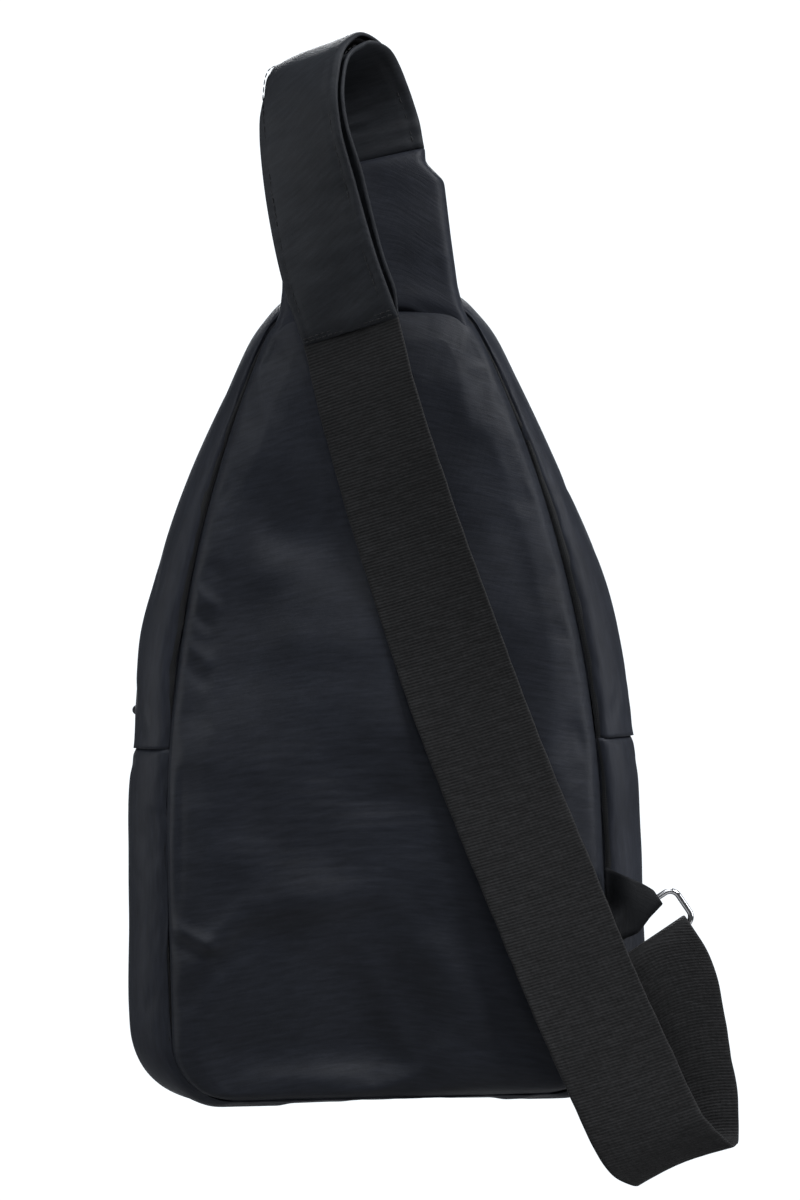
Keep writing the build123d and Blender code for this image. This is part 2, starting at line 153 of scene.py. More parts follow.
def ridge(x, z, start, end, width, taper=0.25):
    """1 on the line from start to end, falling off over width and towards both ends."""
    start, end = np.array(start, float), np.array(end, float)
    line = end - start
    length = np.linalg.norm(line)
    t = ((x - start[0]) * line[0] + (z - start[1]) * line[1]) / length**2
    off = (-(x - start[0]) * line[1] + (z - start[1]) * line[0]) / length
    ends = np.clip(np.minimum(t, 1 - t) / taper, 0, 1)
    return bell(off, 0, width) * ends * ends * (3 - 2 * ends)


# ---- mesh helpers ----
def to_metres(points):
    return (np.asarray(points, float) - HOOK_POINT) * MM


def add_object(name, data):
    obj = bpy.data.objects.new(name, data)
    bpy.context.scene.collection.objects.link(obj)
    return obj


def add_mesh(name, verts, faces, uvs, closed=False):
    """A smooth mesh from points in bag coordinates, with one uv pair per point, in metres. The
    faces of a closed one are turned outward."""
    mesh = bpy.data.meshes.new(name)
    mesh.from_pydata(to_metres(verts).tolist(), [], [tuple(int(i) for i in f) for f in faces])
    layer = mesh.uv_layers.new(name="cloth")
    loops = np.zeros(len(mesh.loops), np.int32)
    mesh.loops.foreach_get("vertex_index", loops)
    layer.data.foreach_set("uv", np.asarray(uvs, np.float32)[loops].ravel())
    mesh.polygons.foreach_set("use_smooth", [True] * len(mesh.polygons))
    if closed:
        shape = bmesh.new()
        shape.from_mesh(mesh)
        bmesh.ops.recalc_face_normals(shape, faces=shape.faces)
        shape.to_mesh(mesh)
        shape.free()
    mesh.update()
    return add_object(name, mesh)


def grid_faces(rows, cols, close_rows=False, close_cols=False):
    r = np.arange(rows if close_rows else rows - 1)
    c = np.arange(cols if close_cols else cols - 1)
    rr, cc = np.meshgrid(r, c, indexing="ij")
    r2, c2 = (rr + 1) % rows, (cc + 1) % cols
    quads = [rr * cols + cc, rr * cols + c2, r2 * cols + c2, r2 * cols + cc]
    return np.stack(quads, -1).reshape(-1, 4)


def bar_faces(rings, around):
    """Faces of a bar made of rings of points, with both ends closed."""
    last = (rings - 1) * around
    ends = [list(range(around))[::-1], list(range(last, last + around))]
    return grid_faces(rings, around, close_cols=True).tolist() + ends


def grid_lengths(points):
    """How far along each row and column every point of a grid is, in metres."""
    across = np.linalg.norm(np.diff(points, axis=1), axis=2)
    down = np.linalg.norm(np.diff(points, axis=0), axis=2)
    u = np.concatenate([np.zeros((len(points), 1)), np.cumsum(across, 1)], 1)
    v = np.concatenate([np.zeros((1, points.shape[1])), np.cumsum(down, 0)], 0)
    return np.stack([u - u.mean(1, keepdims=True), v], -1).reshape(-1, 2) * MM


def sheet_mesh(name, points, facing, close_cols=False):
    """A sheet over a grid of points, its outer side towards facing: one direction, or a grid."""
    rows, cols = points.shape[:2]
    faces = grid_faces(rows, cols, close_cols=close_cols)
    normals = np.cross(points[:-1, 1:] - points[:-1, :-1], points[1:, :-1] - points[:-1, :-1])
    facing = np.asarray(facing, float)
    if (normals * (facing[:-1, :-1] if facing.ndim == 3 else facing)).sum() < 0:
        faces = faces[:, ::-1]
    return add_mesh(name, points.reshape(-1, 3), faces, grid_lengths(points))


def closed_layer(name, near, far):
    """A thin layer between two grids of points that meet along their edges."""
    rows, cols = near.shape[:2]
    faces = grid_faces(rows, cols)
    faces = np.concatenate([faces[:, ::-1], faces + rows * cols])
    verts = np.concatenate([near.reshape(-1, 3), far.reshape(-1, 3)])
    layer = add_mesh(name, verts, faces, np.tile(grid_lengths(near), (2, 1)))
    modify(layer, "WELD", merge_threshold=0.02 * MM)
    return layer


def modify(obj, kind, **settings):
    modifier = obj.modifiers.new(kind.title(), kind)
    for key, value in settings.items():
        setattr(modifier, key, value)
    return modifier


def thicken(obj, thickness, offset=-1.0, rounds=1):
    """Gives a sheet its cloth thickness and rounds its cut edges."""
    modify(obj, "SOLIDIFY", thickness=thickness * MM, offset=offset, use_even_offset=True)
    if rounds:
        modify(obj, "SUBSURF", levels=rounds, render_levels=rounds)


def apply_modifiers(obj):
    graph = bpy.context.evaluated_depsgraph_get()
    mesh = bpy.data.meshes.new_from_object(obj.evaluated_get(graph), depsgraph=graph)
    obj.modifiers.clear()
    obj.data = mesh


def finer(obj):
    modify(obj, "SUBSURF", levels=1, render_levels=1)
    apply_modifiers(obj)


def read_points(obj):
    flat = np.zeros(len(obj.data.vertices) * 3)
    obj.data.vertices.foreach_get("co", flat)
    return flat.reshape(-1, 3) / MM + HOOK_POINT


def write_points(obj, points):
    obj.data.vertices.foreach_set("co", to_metres(points).ravel())
    obj.data.update()


CLOTH = {
    "quality": 6, "mass": 0.2, "tension_stiffness": 20, "compression_stiffness": 20,
    "shear_stiffness": 10, "bending_stiffness": 0.8, "air_damping": 2, "use_pressure": True,
}
CLOTH_FRAMES = 20


def simulate(obj, grid, pressure, slack, cap):
    """Puffs a sheet over a grid (rows, columns) with Cloth, its edge sewn down, and applies the
    result. No point moves more than cap."""
    rest = read_points(obj)
    index = np.arange(len(rest)).reshape(grid)
    edge = np.unique(np.concatenate([index[:, 0], index[:, -1], index[0], index[-1]]))
    obj.vertex_groups.new(name="sewn").add(edge.tolist(), 1.0, "REPLACE")
    cloth = modify(obj, "CLOTH")
    for key, value in CLOTH.items():
        setattr(cloth.settings, key, value)
    cloth.settings.uniform_pressure_force = pressure
    cloth.settings.shrink_min = -slack
    cloth.settings.vertex_group_mass = "sewn"
    cloth.settings.effector_weights.gravity = 0
    cloth.collision_settings.use_self_collision = False
    cloth.point_cache.frame_start = 1
    cloth.point_cache.frame_end = CLOTH_FRAMES
    for step in range(1, CLOTH_FRAMES + 1):
        bpy.context.scene.frame_set(step)
    apply_modifiers(obj)
    bpy.context.scene.frame_set(1)
    moved = read_points(obj) - rest
    size = np.linalg.norm(moved, axis=1, keepdims=True)
    write_points(obj, rest + moved * np.minimum(1, cap / np.maximum(size, 1e-6)))
    obj.vertex_groups.clear()


def oval(count, wide, deep):
    turns = np.linspace(0, 2 * math.pi, count, endpoint=False)
    return np.stack([wide * np.cos(turns), deep * np.sin(turns)], -1)


def sweep(name, path, across, out, profile, closed=False):
    """A closed profile (pairs across, out) carried along a path, with its ends capped unless the
    path is closed too."""
    points = path[:, None] + across[:, None] * profile[:, :1] + out[:, None] * profile[:, 1:]
    rows, cols = points.shape[:2]
    faces = bar_faces(rows, cols)
    if closed:
        faces = grid_faces(rows, cols, close_rows=True, close_cols=True)
    return add_mesh(name, points.reshape(-1, 3), faces, grid_lengths(points), closed=True)


def frames_along(path, normals, spacing, spare=0.0, ahead=0.3):
    """Places every spacing mm along a path: origin, x along it, y across, z as the normals.
    Directions are taken over ahead mm."""
    knots = run_lengths(path)
    at = np.arange(spacing / 2, knots[-1] - spare, spacing)
    place, normal = sample(path, knots, at), sample(normals, knots, at)
    x = unit(sample(path, knots, at + ahead) - place)
    z = unit(normal - x * (normal * x).sum(1, keepdims=True))
    return list(zip(place, x, np.cross(z, x), z))


def instances(name, shape, places):
    """One mesh made of a small shape (points, faces) repeated at places."""
    points, shape_faces = shape
    verts, faces = [], []
    for count, (origin, x, y, z) in enumerate(places):
        verts.append(origin + points[:, :1] * x + points[:, 1:2] * y + points[:, 2:] * z)
        faces.extend([[i + count * len(points) for i in face] for face in shape_faces])
    verts = np.concatenate(verts)
    return add_mesh(name, verts, faces, verts[:, [0, 2]] * MM, closed=True)


def capsule(length, radius, height, around=6, rings=5):
    """A stitch: a small rounded bar along X, flattened to a height."""
    t = np.linspace(0, math.pi, rings)[:, None]
    turn = np.linspace(0, 2 * math.pi, around, endpoint=False)
    fat = np.maximum(np.sin(t), 0.15) ** 0.6
    x = -np.cos(t) * length / 2 + 0 * turn
    points = np.stack([x, radius * fat * np.cos(turn), height * fat * np.sin(turn)], -1)
    return points.reshape(-1, 3), bar_faces(rings, around)


def tooth(around=8, rings=8):
    """One turn of a zip coil: a rounded bar across the tape with a swollen head."""
    t = np.linspace(0, 1, rings)[:, None]
    turn = np.linspace(0, 2 * math.pi, around, endpoint=False)
    fat = 0.62 + 0.22 * np.sin(np.clip((t - 0.75) / 0.25, 0, 1) * math.pi)
    fat[[0, -1]] *= 0.45
    lift = 0.7 + 0.12 * np.sin(math.pi * t)
    y = t * TOOTH_LENGTH + 0 * turn
    points = np.stack([fat * 0.9 * np.cos(turn), y, lift + fat * 1.05 * np.sin(turn)], -1)
    return points.reshape(-1, 3), bar_faces(rings, around)


# ---- outlines ----
def arc(x, z, radius, start, end, count):
    a = np.linspace(start, end, count)
    return np.stack([x + radius * np.cos(a), z + radius * np.sin(a)], -1)


def outline(shape, part="all", inset=0.0):
    """Points of an outline seen from the back. lower runs from the left seam end under the base
    to the right one, and upper goes on over the top."""
    half, side, start, foot, base, top, corner = shape
    half, side, foot, corner = half - inset, side - inset, foot - inset, corner - inset
    base, top = base + inset, top - inset
    side_x = half - side
    corner_z = top - corner
    corner_x = side_x + math.sqrt((side - corner) ** 2 - (corner_z - start) ** 2)
    corner_angle = math.atan2(corner_z - start, corner_x - side_x)
    seam = math.asin((GUSSET_SEAM_Z - start) / side)
    mirror = np.array((-1, 1))
    edge = np.linspace(-(half - foot), half - foot, BASE_POINTS)
    wall = np.linspace(base + foot, start, WALL_POINTS)[1:]
    lower_right = np.concatenate([
        arc(half - foot, base + foot, foot, -math.pi / 2, 0, FOOT_POINTS)[1:],
        np.stack([np.full(len(wall), half), wall], -1),
        arc(side_x, start, side, 0, seam, LOW_SIDE_POINTS)[1:],
    ])
    base_line = np.stack([edge, np.full(len(edge), base)], -1)
    lower = np.concatenate([(lower_right * mirror)[::-1], base_line, lower_right])
    upper_right = np.concatenate([
        arc(side_x, start, side, seam, corner_angle, SIDE_POINTS),
        arc(corner_x, corner_z, corner, corner_angle, math.pi / 2, CORNER_POINTS)[1:],
    ])
    across = np.linspace(corner_x, -corner_x, TOP_POINTS)[1:-1]
    top_line = np.stack([across, np.full(len(across), top)], -1)
    upper = np.concatenate([upper_right, top_line, (upper_right * mirror)[::-1]])
    if part == "lower":
        return lower
    if part == "upper":
        return upper
    return np.concatenate([lower, upper[1:-1]])


def half_width(shape, z, inset=0.0):
    """Half the width of an outline at a height."""
    line = outline(shape, inset=inset)
    right = line[line[:, 0] >= 0]
    right = right[np.argsort(right[:, 1], kind="stable")]
    return np.interp(z, right[:, 1], right[:, 0])


def front_depth(z):
    return FRONT_Y - np.asarray(z) * math.tan(FRONT_LEAN)


def panel(shape, cols, rows, low=None, high=None, inset=0.0):
    """A grid of x and z over the inside of an outline, closer together near its edges."""
    low = shape[4] + inset if low is None else low
    high = shape[5] - inset if high is None else high
    t = np.linspace(0, 1, rows)
    ease = 0.5 - 0.5 * np.cos(math.pi * t)
    z = low + (high - low) * (0.75 * t + 0.25 * ease)
    z[0] += 0.02
    z[-1] -= 0.02
    u = np.linspace(-1, 1, cols)
    u = 0.8 * u + 0.2 * np.sin(math.pi / 2 * u)
    width = half_width(shape, z, inset)
    return u[None, :] * width[:, None], np.repeat(z[:, None], cols, 1)


def edge_distance(x, z, shape, inset=0.0):
    """How far every point is from an outline."""
    line = outline(shape, inset=inset)
    flat = np.stack([np.ravel(x), np.ravel(z)], -1)
    best = np.full(len(flat), 1e9)
    for p, q in zip(line, np.roll(line, -1, axis=0)):
        d = q - p
        length = d @ d
        if length < 1e-9:
            continue
        t = np.clip(((flat - p) @ d) / length, 0, 1)
        best = np.minimum(best, np.linalg.norm(flat - p - t[:, None] * d, axis=1))
    return best.reshape(np.shape(x))


# ---- materials ----
class Shader:
    """A small helper that wires a Principled material."""

    def __init__(self, name, color, roughness, **sockets):
        self.material = bpy.data.materials.new(name)
        self.material.use_nodes = True
        self.tree = self.material.node_tree
        self.bsdf = self.tree.nodes["Principled BSDF"]
        self.base = color
        self.bsdf.inputs["Base Color"].default_value = (*color, 1)
        self.bsdf.inputs["Roughness"].default_value = roughness
        for key, value in sockets.items():
            self.bsdf.inputs[key.replace("_", " ")].default_value = value
        self.height = None

    def node(self, kind, **settings):
        node = self.tree.nodes.new(kind)
        for key, value in settings.items():
            if key in node.inputs:
                node.inputs[key].default_value = value
            else:
                setattr(node, key, value)
        return node

    def link(self, source, target):
        self.tree.links.new(source, target)

    def coords(self, kind, scale=(1, 1, 1)):
        mapping = self.node("ShaderNodeMapping", Scale=scale)
        self.link(self.node("ShaderNodeTexCoord").outputs[kind], mapping.inputs["Vector"])
        return mapping.outputs["Vector"]

    def noise(self, scale, detail, kind="Object", stretch=(1, 1, 1), rough=0.5):
        node = self.node("ShaderNodeTexNoise", Scale=scale, Detail=detail, Roughness=rough)
        self.link(self.coords(kind, stretch), node.inputs["Vector"])
        return node.outputs["Fac"]

    def wave(self, pitch, direction):
        """Bands with a pitch in metres."""
        node = self.node(
            "ShaderNodeTexWave", wave_type="BANDS", bands_direction=direction,
            Scale=math.pi / 10 / pitch,
        )
        self.link(self.coords("UV"), node.inputs["Vector"])
        return node.outputs["Fac"]

    def math(self, operation, a, b):
        node = self.node("ShaderNodeMath", operation=operation)
        for socket, value in zip(node.inputs, (a, b)):
            if isinstance(value, (int, float)):
                socket.default_value = value
            else:
                self.link(value, socket)
        return node.outputs[0]

    def mix(self, a, share_a, b, share_b):
        parts = self.math("MULTIPLY", a, share_a), self.math("MULTIPLY", b, share_b)
        return self.math("ADD", *parts)

    def shade(self, source, *stops):
        """Varies the base colour: each stop is a value of source and how much colour is there."""
        node = self.node("ShaderNodeValToRGB")
        ramp = node.color_ramp
        while len(ramp.elements) < len(stops):
            ramp.elements.new(0.5)
        for element, (place, amount) in zip(ramp.elements, stops):
            element.position = place
            element.color = (*(c * amount for c in self.base), 1)
        self.link(source, node.inputs["Fac"])
        self.link(node.outputs["Color"], self.bsdf.inputs["Base Color"])

    def roughness(self, source, low, high):
        node = self.node("ShaderNodeMapRange")
        node.inputs["To Min"].default_value = low
        node.inputs["To Max"].default_value = high
        self.link(source, node.inputs["Value"])
        self.link(node.outputs["Result"], self.bsdf.inputs["Roughness"])

    def bump(self, height, distance, strength):
        """Adds a layer of relief, distance in metres, to the ones before."""
        node = self.node("ShaderNodeBump", Strength=strength, Distance=distance)
        self.link(height, node.inputs["Height"])
        if self.height is not None:
            self.link(self.height, node.inputs["Normal"])
        self.height = node.outputs["Normal"]
        self.link(self.height, self.bsdf.inputs["Normal"])


def nylon(name, color, roughness, sheen):
    """Plain-woven nylon: fine crossed threads, slightly uneven weft, a soft sheen."""
    shader = Shader(
        name, color, roughness, Sheen_Weight=sheen, Sheen_Roughness=0.45,
        Sheen_Tint=(0.8, 0.88, 1.0, 1), Specular_IOR_Level=0.2,
    )
    weave = shader.math("MULTIPLY", shader.wave(0.00046, "X"), shader.wave(0.00046, "Y"))
    uneven = shader.noise(420, 3, "UV", (0.22, 1.3, 1), 0.6)
    blotch = shader.mix(shader.noise(22, 4), 0.45, uneven, 0.55)
    shader.shade(blotch, (0.34, 0.7), (0.5, 1), (0.66, 1.36))
    shader.roughness(shader.noise(60, 3), roughness - 0.09, roughness + 0.12)
    shader.bump(weave, 0.00005, 0.55)
    shader.bump(uneven, 0.00025, 0.4)
    return shader.material


def webbing_material(name, color):
    """Ribbed webbing: cross ribs over fine columns, with a matte grain."""
    shader = Shader(
        name, color, 0.62, Sheen_Weight=0.05, Sheen_Roughness=0.6,
        Sheen_Tint=(1.0, 0.98, 0.96, 1), Specular_IOR_Level=0.2,
    )
    weave = shader.mix(shader.wave(0.00125, "Y"), 0.8, shader.wave(0.0021, "X"), 0.2)
    grain = shader.noise(620, 3, "UV", (1, 1, 1), 0.7)
    streak = shader.noise(330, 3, "UV", (0.4, 1, 1), 0.65)
    shader.shade(shader.mix(grain, 0.55, streak, 0.45), (0.36, 0.5), (0.5, 1), (0.66, 1.8))
    shader.roughness(grain, 0.5, 0.75)
    shader.bump(weave, 0.00016, 0.8)
    shader.bump(streak, 0.0004, 0.7)
    shader.bump(grain, 0.0002, 0.7)
    return shader.material


def plain_cloth(name, color, pitch):
    shader = Shader(name, color, 0.7, Sheen_Weight=0.15, Specular_IOR_Level=0.3)
    weave = shader.math("MULTIPLY", shader.wave(pitch, "X"), shader.wave(pitch, "Y"))
    fuzz = shader.noise(300, 3, "UV")
    shader.shade(fuzz, (0.3, 0.7), (0.7, 1.3))
    shader.bump(weave, 0.00012, 0.7)
    shader.bump(fuzz, 0.0001, 0.4)
    return shader.material


def foam_material(name, color):
    shader = Shader(name, color, 0.9, Specular_IOR_Level=0.2)
    cells = shader.node("ShaderNodeTexVoronoi", Scale=1400.0)
    shader.link(shader.coords("Object"), cells.inputs["Vector"])
    shader.shade(cells.outputs["Distance"], (0.0, 0.6), (0.8, 1.3))
    shader.bump(cells.outputs["Distance"], 0.0002, 0.6)
    return shader.material


def plastic_material(name, color):
    shader = Shader(name, color, 0.42, Specular_IOR_Level=0.5)
    speckle = shader.noise(900, 2)
    shader.shade(speckle, (0.3, 0.8), (0.7, 1.2))
    shader.roughness(speckle, 0.36, 0.52)
    shader.bump(speckle, 0.00002, 0.4)
    return shader.material


def metal_material(name, color, roughness):
    shader = Shader(name, color, roughness, Metallic=1.0)
    wear = shader.noise(240, 5, "Object", (1, 1, 1), 0.6)
    shader.shade(wear, (0.35, 0.86), (0.65, 1.06))
    shader.roughness(wear, max(0.03, roughness - 0.06), roughness + 0.1)
    shader.bump(shader.noise(1500, 2), 0.00001, 0.3)
    return shader.material


SHELL = nylon("shell_nylon", (0.0170, 0.0190, 0.0258), 0.46, 0.03)
BACK = nylon("back_nylon", (0.0150, 0.0168, 0.0226), 0.44, 0.03)
# Painted shade: the tab's cloth is a much darker copy of the shell nylon, standing in for the shade
# it sits in beside the ring.
TAB_PAINTED_SHADE = nylon("tab_nylon_painted_shade", (0.0050, 0.0055, 0.0068), 0.62, 0.02)
PAD = nylon("pad_nylon", (0.0175, 0.0192, 0.0230), 0.5, 0.05)
WEB = webbing_material("strap_webbing", (0.0098, 0.0098, 0.0104))
LINING = plain_cloth("lining_cloth", (0.0055, 0.006, 0.0072), 0.0007)
BINDING = plain_cloth("binding_tape", (0.0045, 0.005, 0.006), 0.0011)
TAPE = plain_cloth("zip_tape_cloth", (0.012, 0.0125, 0.0135), 0.0009)
THREAD = plain_cloth("sewing_thread", (0.0085, 0.009, 0.0105), 0.0003)
FOAM = foam_material("pad_foam", (0.011, 0.011, 0.012))
COIL = plastic_material("coil_nylon", (0.02, 0.02, 0.022))
ZIP_METAL = metal_material("zip_metal", (0.16, 0.16, 0.17), 0.34)
CHROME = metal_material("ring_chrome", (0.82, 0.82, 0.84), 0.1)


def paint(obj, material):
    obj.data.materials.clear()
    obj.data.materials.append(material)


def finish_piece(obj, material, slot, *nodes, body="bag"):
    """Gives a piece its material, the CAD nodes it stands for and its body. The slot argument is
    not used.
    """
    paint(obj, material)
    if nodes:
        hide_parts(*nodes)
    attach(obj, body)


# ---- strap frames ----
def loop_stations():
    """Stations that carry the webbing round the ring's lower bar and back onto itself."""
    bar = RING_CENTRE - RING_UP * (RING_HEIGHT / 2)
    stations = []
    for step in range(7):
        turn = math.radians(30 * step)
        place = bar + LOOP_RADIUS * (RING_UP * math.sin(turn) - DEEP * math.cos(turn))
        stations.append((*place, 0, math.degrees(RING_SLOPE)))
    x, y, z, turn, slope = WEBBING_STATIONS[-1]
    return stations + [(x, y + WEBBING + 0.2, z, turn, slope)]


def smooth_strap(stations, step):
    """A curve through stations: how far along it they are, and its lengths, centres, across and
    outward directions every step mm."""
    known = np.array(stations, float)
    knots = run_lengths(known[:, :3])
    slopes = np.gradient(known, knots, axis=0)
    s = np.linspace(0, knots[-1], int(knots[-1] / step) + 1)
    i = np.clip(np.searchsorted(knots, s, "right") - 1, 0, len(knots) - 2)
    h = (knots[i + 1] - knots[i])[:, None]
    t = ((s - knots[i]) / (knots[i + 1] - knots[i]))[:, None]
    values = (
        (2 * t**3 - 3 * t**2 + 1) * known[i]
        + (t**3 - 2 * t**2 + t) * h * slopes[i]
        + (-2 * t**3 + 3 * t**2) * known[i + 1]
        + (t**3 - t**2) * h * slopes[i + 1]
    )
    path = values[:, :3]
    along = tangents(path)
    turn, slope = np.radians(values[:, 3]), np.radians(values[:, 4])
    level = np.cos(turn)
    across = np.stack([level * np.cos(slope), -np.sin(turn), level * np.sin(slope)], -1)
    square = 1 - 0.75 * bell(s, knots[FOLD] - 1, 12)[:, None]
    across = unit(across - along * (across * along).sum(1, keepdims=True) * square)
    return knots, s, path, across, unit(np.cross(along, across))


def ribbon_grid(path, across, out, a, o):
    """Points at distances a across and o outward, each an array of stations x columns."""
    return path[:, None] + across[:, None] * a[..., None] + out[:, None] * o[..., None]


# ---- the body's panels ----
def seam_y(x, z):
    """Depth of the back seam: the cloth is pulled in deeply above, and less near the base."""
    left = 0.25 + 0.75 * smoothstep(z, 140, 178)
    right = 0.25 + 0.75 * smoothstep(z, 70, 105)
    return SEAM_Y + 3.4 * np.where(x < 0, left, right)


def silhouette_drift(line):
    """Small differences of the stuffed bag's widest outline from its pattern, in mm."""
    x, z = line[:, 0], line[:, 1]
    left, right = x < -20, x > 20
    push = 2.2 * bell(z, 309, 12) * (left | right) + 0.9 * bell(z, 220, 70)
    push = push + 1.9 * bell(z, 6, 14) * (np.abs(x) > 45)
    push = push + left * (1.6 * bell(z, 192, 16) - 1.5 * bell(z, 150, 14) + 0.8 * bell(z, 25, 30))
    push = push - right * (1.7 * bell(z, 252, 34) + 0.8 * bell(z, 150, 14) + 0.8 * bell(z, 100, 30))
    direction = unit(line - np.stack([np.zeros_like(x), np.clip(z, MIDDLE_LOW, MIDDLE_HIGH)], -1))
    return direction * push[:, None]


def rear_section(part, t):
    """The rear gusset's outline t of the way from the back seam (0) to the zip (1)."""
    seam, wide, zip_line = (outline(s, part) for s in (BACK_SEAM, WIDEST, ZIP_LINE))
    wide = wide + silhouette_drift(wide)
    if t > REAR_SPLIT:
        k = (t - REAR_SPLIT) / (1 - REAR_SPLIT)
        return wide + (zip_line - wide) * k * k, WIDEST_Y + (ZIP_REAR_Y - WIDEST_Y) * k
    k = t / REAR_SPLIT
    swing = 0.5 * k + 0.5 * math.sin(math.pi / 2 * k)
    sink = 0.5 * k + 0.5 * (1 - math.cos(math.pi / 2 * k))
    line = seam + (wide - seam) * swing
    lip = bell(np.linalg.norm(line - seam, axis=1), 0, 2.6)
    groove = (seam_y(seam[:, 0], seam[:, 1]) - SEAM_Y) * lip
    return line, SEAM_Y - 0.9 + 0.9 * lip + (WIDEST_Y - SEAM_Y + 0.9) * sink + groove


def front_section(part, t):
    zip_line, seam = outline(ZIP_LINE, part), outline(FRONT_SEAM, part)
    swell = 2.2 * math.sin(math.pi * t)
    line = zip_line + (seam - zip_line) * t**1.35
    out = line / np.linalg.norm(line - (0, 120), axis=1, keepdims=True)
    end = front_depth(seam[:, 1]) - 1.0
    return line + out * swell * 0.4, ZIP_FRONT_Y + (end - ZIP_FRONT_Y) * t


def with_depth(line, y):
    return np.stack([line[:, 0], np.broadcast_to(y, len(line)), line[:, 1]], -1)


def outward(points):
    """Directions out of the bag in the plane of the back, for a gusset's points."""
    x, z = points[..., 0], points[..., 2]
    rise = (z - np.clip(z, MIDDLE_LOW, MIDDLE_HIGH)) * 1.2
    return unit(np.stack([x, np.zeros_like(x), rise], -1))


def shelf_height(x, middle):
    """Height of the fold under the belly, lower towards the left side."""
    return middle + 8 * smoothstep(x, -60, 10) - 26 * smoothstep(-x, 50, 88)


def back_relief(x, z):
    """How far the back panel's cloth stands out: ripples, puckers and soft folds, in mm."""
    inner = np.clip(edge_distance(x, z, BACK_SEAM) / 14, 0, 1)
    ripples = np.sin(2 * math.pi * (z + 1.5 * bumps(x, z, 60, 3)) / 4.6)
    patch = bell(z, 116, 34) * bell(x, -14, 60)
    relief = 0.15 * ripples * patch * (0.75 + 0.35 * bumps(x, z * 3, 26, 5))
    relief += 0.4 * bumps(x * 0.55, z, 20, 11) * patch
    relief += 0.7 * bumps(x, z, 46, 7) * inner + 1.7 * bumps(x, z, 120, 9) * inner
    shelf = shelf_height(x, 76)
    fade = smoothstep(-x, -10, 10)
    relief += 1.3 * bell(z, shelf + 5, 7) * fade * inner
    relief -= 0.9 * bell(z, shelf - 7, 6) * fade * inner
    # Start, end, width and height of each fold.
    folds = [
        ((-92, 75), (-66, 63), 3.0, 1.4), ((-92, 68), (-62, 56), 3.6, -1.0),
        ((-80, 214), (-62, 198), 2.6, 0.9), ((-82, 206), (-66, 190), 2.6, -1.0),
        ((-83, 190), (-66, 176), 3.0, 1.0), ((-84, 182), (-68, 168), 3.0, -0.8),
        ((-84, 140), (-88, 70), 2.0, 0.7), ((-81, 140), (-84, 70), 2.2, -0.7),
        ((-12, 66), (10, 12), 6.5, 1.8), ((14, 72), (38, 22), 7.0, 1.7),
        ((2, 68), (24, 18), 5.0, -0.8),
        ((-60, 250), (-40, 205), 12.0, 1.2), ((-52, 232), (-16, 226), 10.0, -1.2),
        ((-66, 176), (-20, 166), 9.0, -0.9), ((-50, 190), (0, 182), 8.0, 0.9),
        ((52, 300), (60, 250), 5.0, 0.5), ((76, 180), (62, 120), 7.0, 0.8),
        ((30, 296), (44, 262), 7.0, 0.6), ((50, 240), (66, 190), 7.0, -0.8),
    ]
    for start, end, width, height in folds:
        relief += height * ridge(x, z, start, end, width)
    return relief


def back_shape(x, z):
    """Depth of the stuffed back panel: a belly low down that falls away towards the base."""
    d = edge_distance(x, z, BACK_SEAM)
    seam = seam_y(x, z)
    sag = bell(z, 108, 55)
    dented = smoothstep(-x, -28, 6)
    sag = np.where(z < 108, 1 - (1 - sag) * dented, sag)
    flat_base = (1 - dented) * smoothstep(-z, -150, -90)
    round_off = rounded(d, 75.0) * (1 - flat_base) + rounded(d, 26.0) * flat_base
    belly = 2.8 * round_off + 2.4 * sag * rounded(d, 50.0)
    shelf = shelf_height(x, 78)
    fall = np.clip((shelf - z) / 74, 0, 1) * smoothstep(shelf - z, -4, 14)
    recess = 7.6 * fall * dented * smoothstep(d, -3, 24)
    return seam + (BACK_Y - seam) * rounded(d, 4.6) - belly + recess


def back_lift(x, z):
    """The cover's wrinkles, fading out towards its seam."""
    return back_relief(x, z) * rounded(edge_distance(x, z, BACK_SEAM), 9.0)


def build_back_panel():
    cols, rows = 72, 132
    x, z = panel(BACK_SEAM, cols, rows)
    cover = sheet_mesh("back_panel", np.stack([x, back_shape(x, z), z], -1), BACKWARD)
    simulate(cover, x.shape, pressure=2.5, slack=0.0012, cap=2.0)
    finer(cover)
    points = read_points(cover)
    points[:, 1] -= back_lift(points[:, 0], points[:, 2])
    write_points(cover, points)
    thicken(cover, COVER, rounds=0)
    finish_piece(cover, BACK, "back_cover", "back_panel_cover")


def back_foam_face(x, z):
    """The foam's outer face, following the cover from just under it."""
    return back_shape(x, z) - back_lift(x, z) + 4.0


def plate(name, shape, start, thickness, inset, edge, lean=False, near=None):
    """A flat inner layer with soft edges, such as foam or lining. near shapes its outer face."""
    x, z = panel(shape, cols=40, rows=70, inset=inset)
    half = thickness / 2
    middle = (front_depth(z) if lean else np.zeros_like(z)) + start + half
    soft = 0.12 * bumps(x, z, 35, 21)
    round_edge = rounded(edge_distance(x, z, shape, inset), edge)
    outer = middle - half * round_edge + soft
    if near is not None:
        outer = middle + (near(x, z) - middle) * round_edge
    inner = middle + half * round_edge + soft
    return closed_layer(name, np.stack([x, outer, z], -1), np.stack([x, inner, z], -1))


def hoop(name, shape, y, lean=False):
    """Binding tape folded round a seam inside the bag, as a closed loop."""
    line = outline(shape, inset=BINDING_INSET + BINDING_THICKNESS / 2)
    path = with_depth(line, (front_depth(line[:, 1]) if lean else 0.0) + y)
    deep = np.broadcast_to(DEEP, path.shape)
    side = np.cross(tangents(path, closed=True), deep)
    profile = oval(12, BINDING_THICKNESS / 2, BINDING_WIDTH / 2)
    return sweep(name, path, side, deep, profile, closed=True)


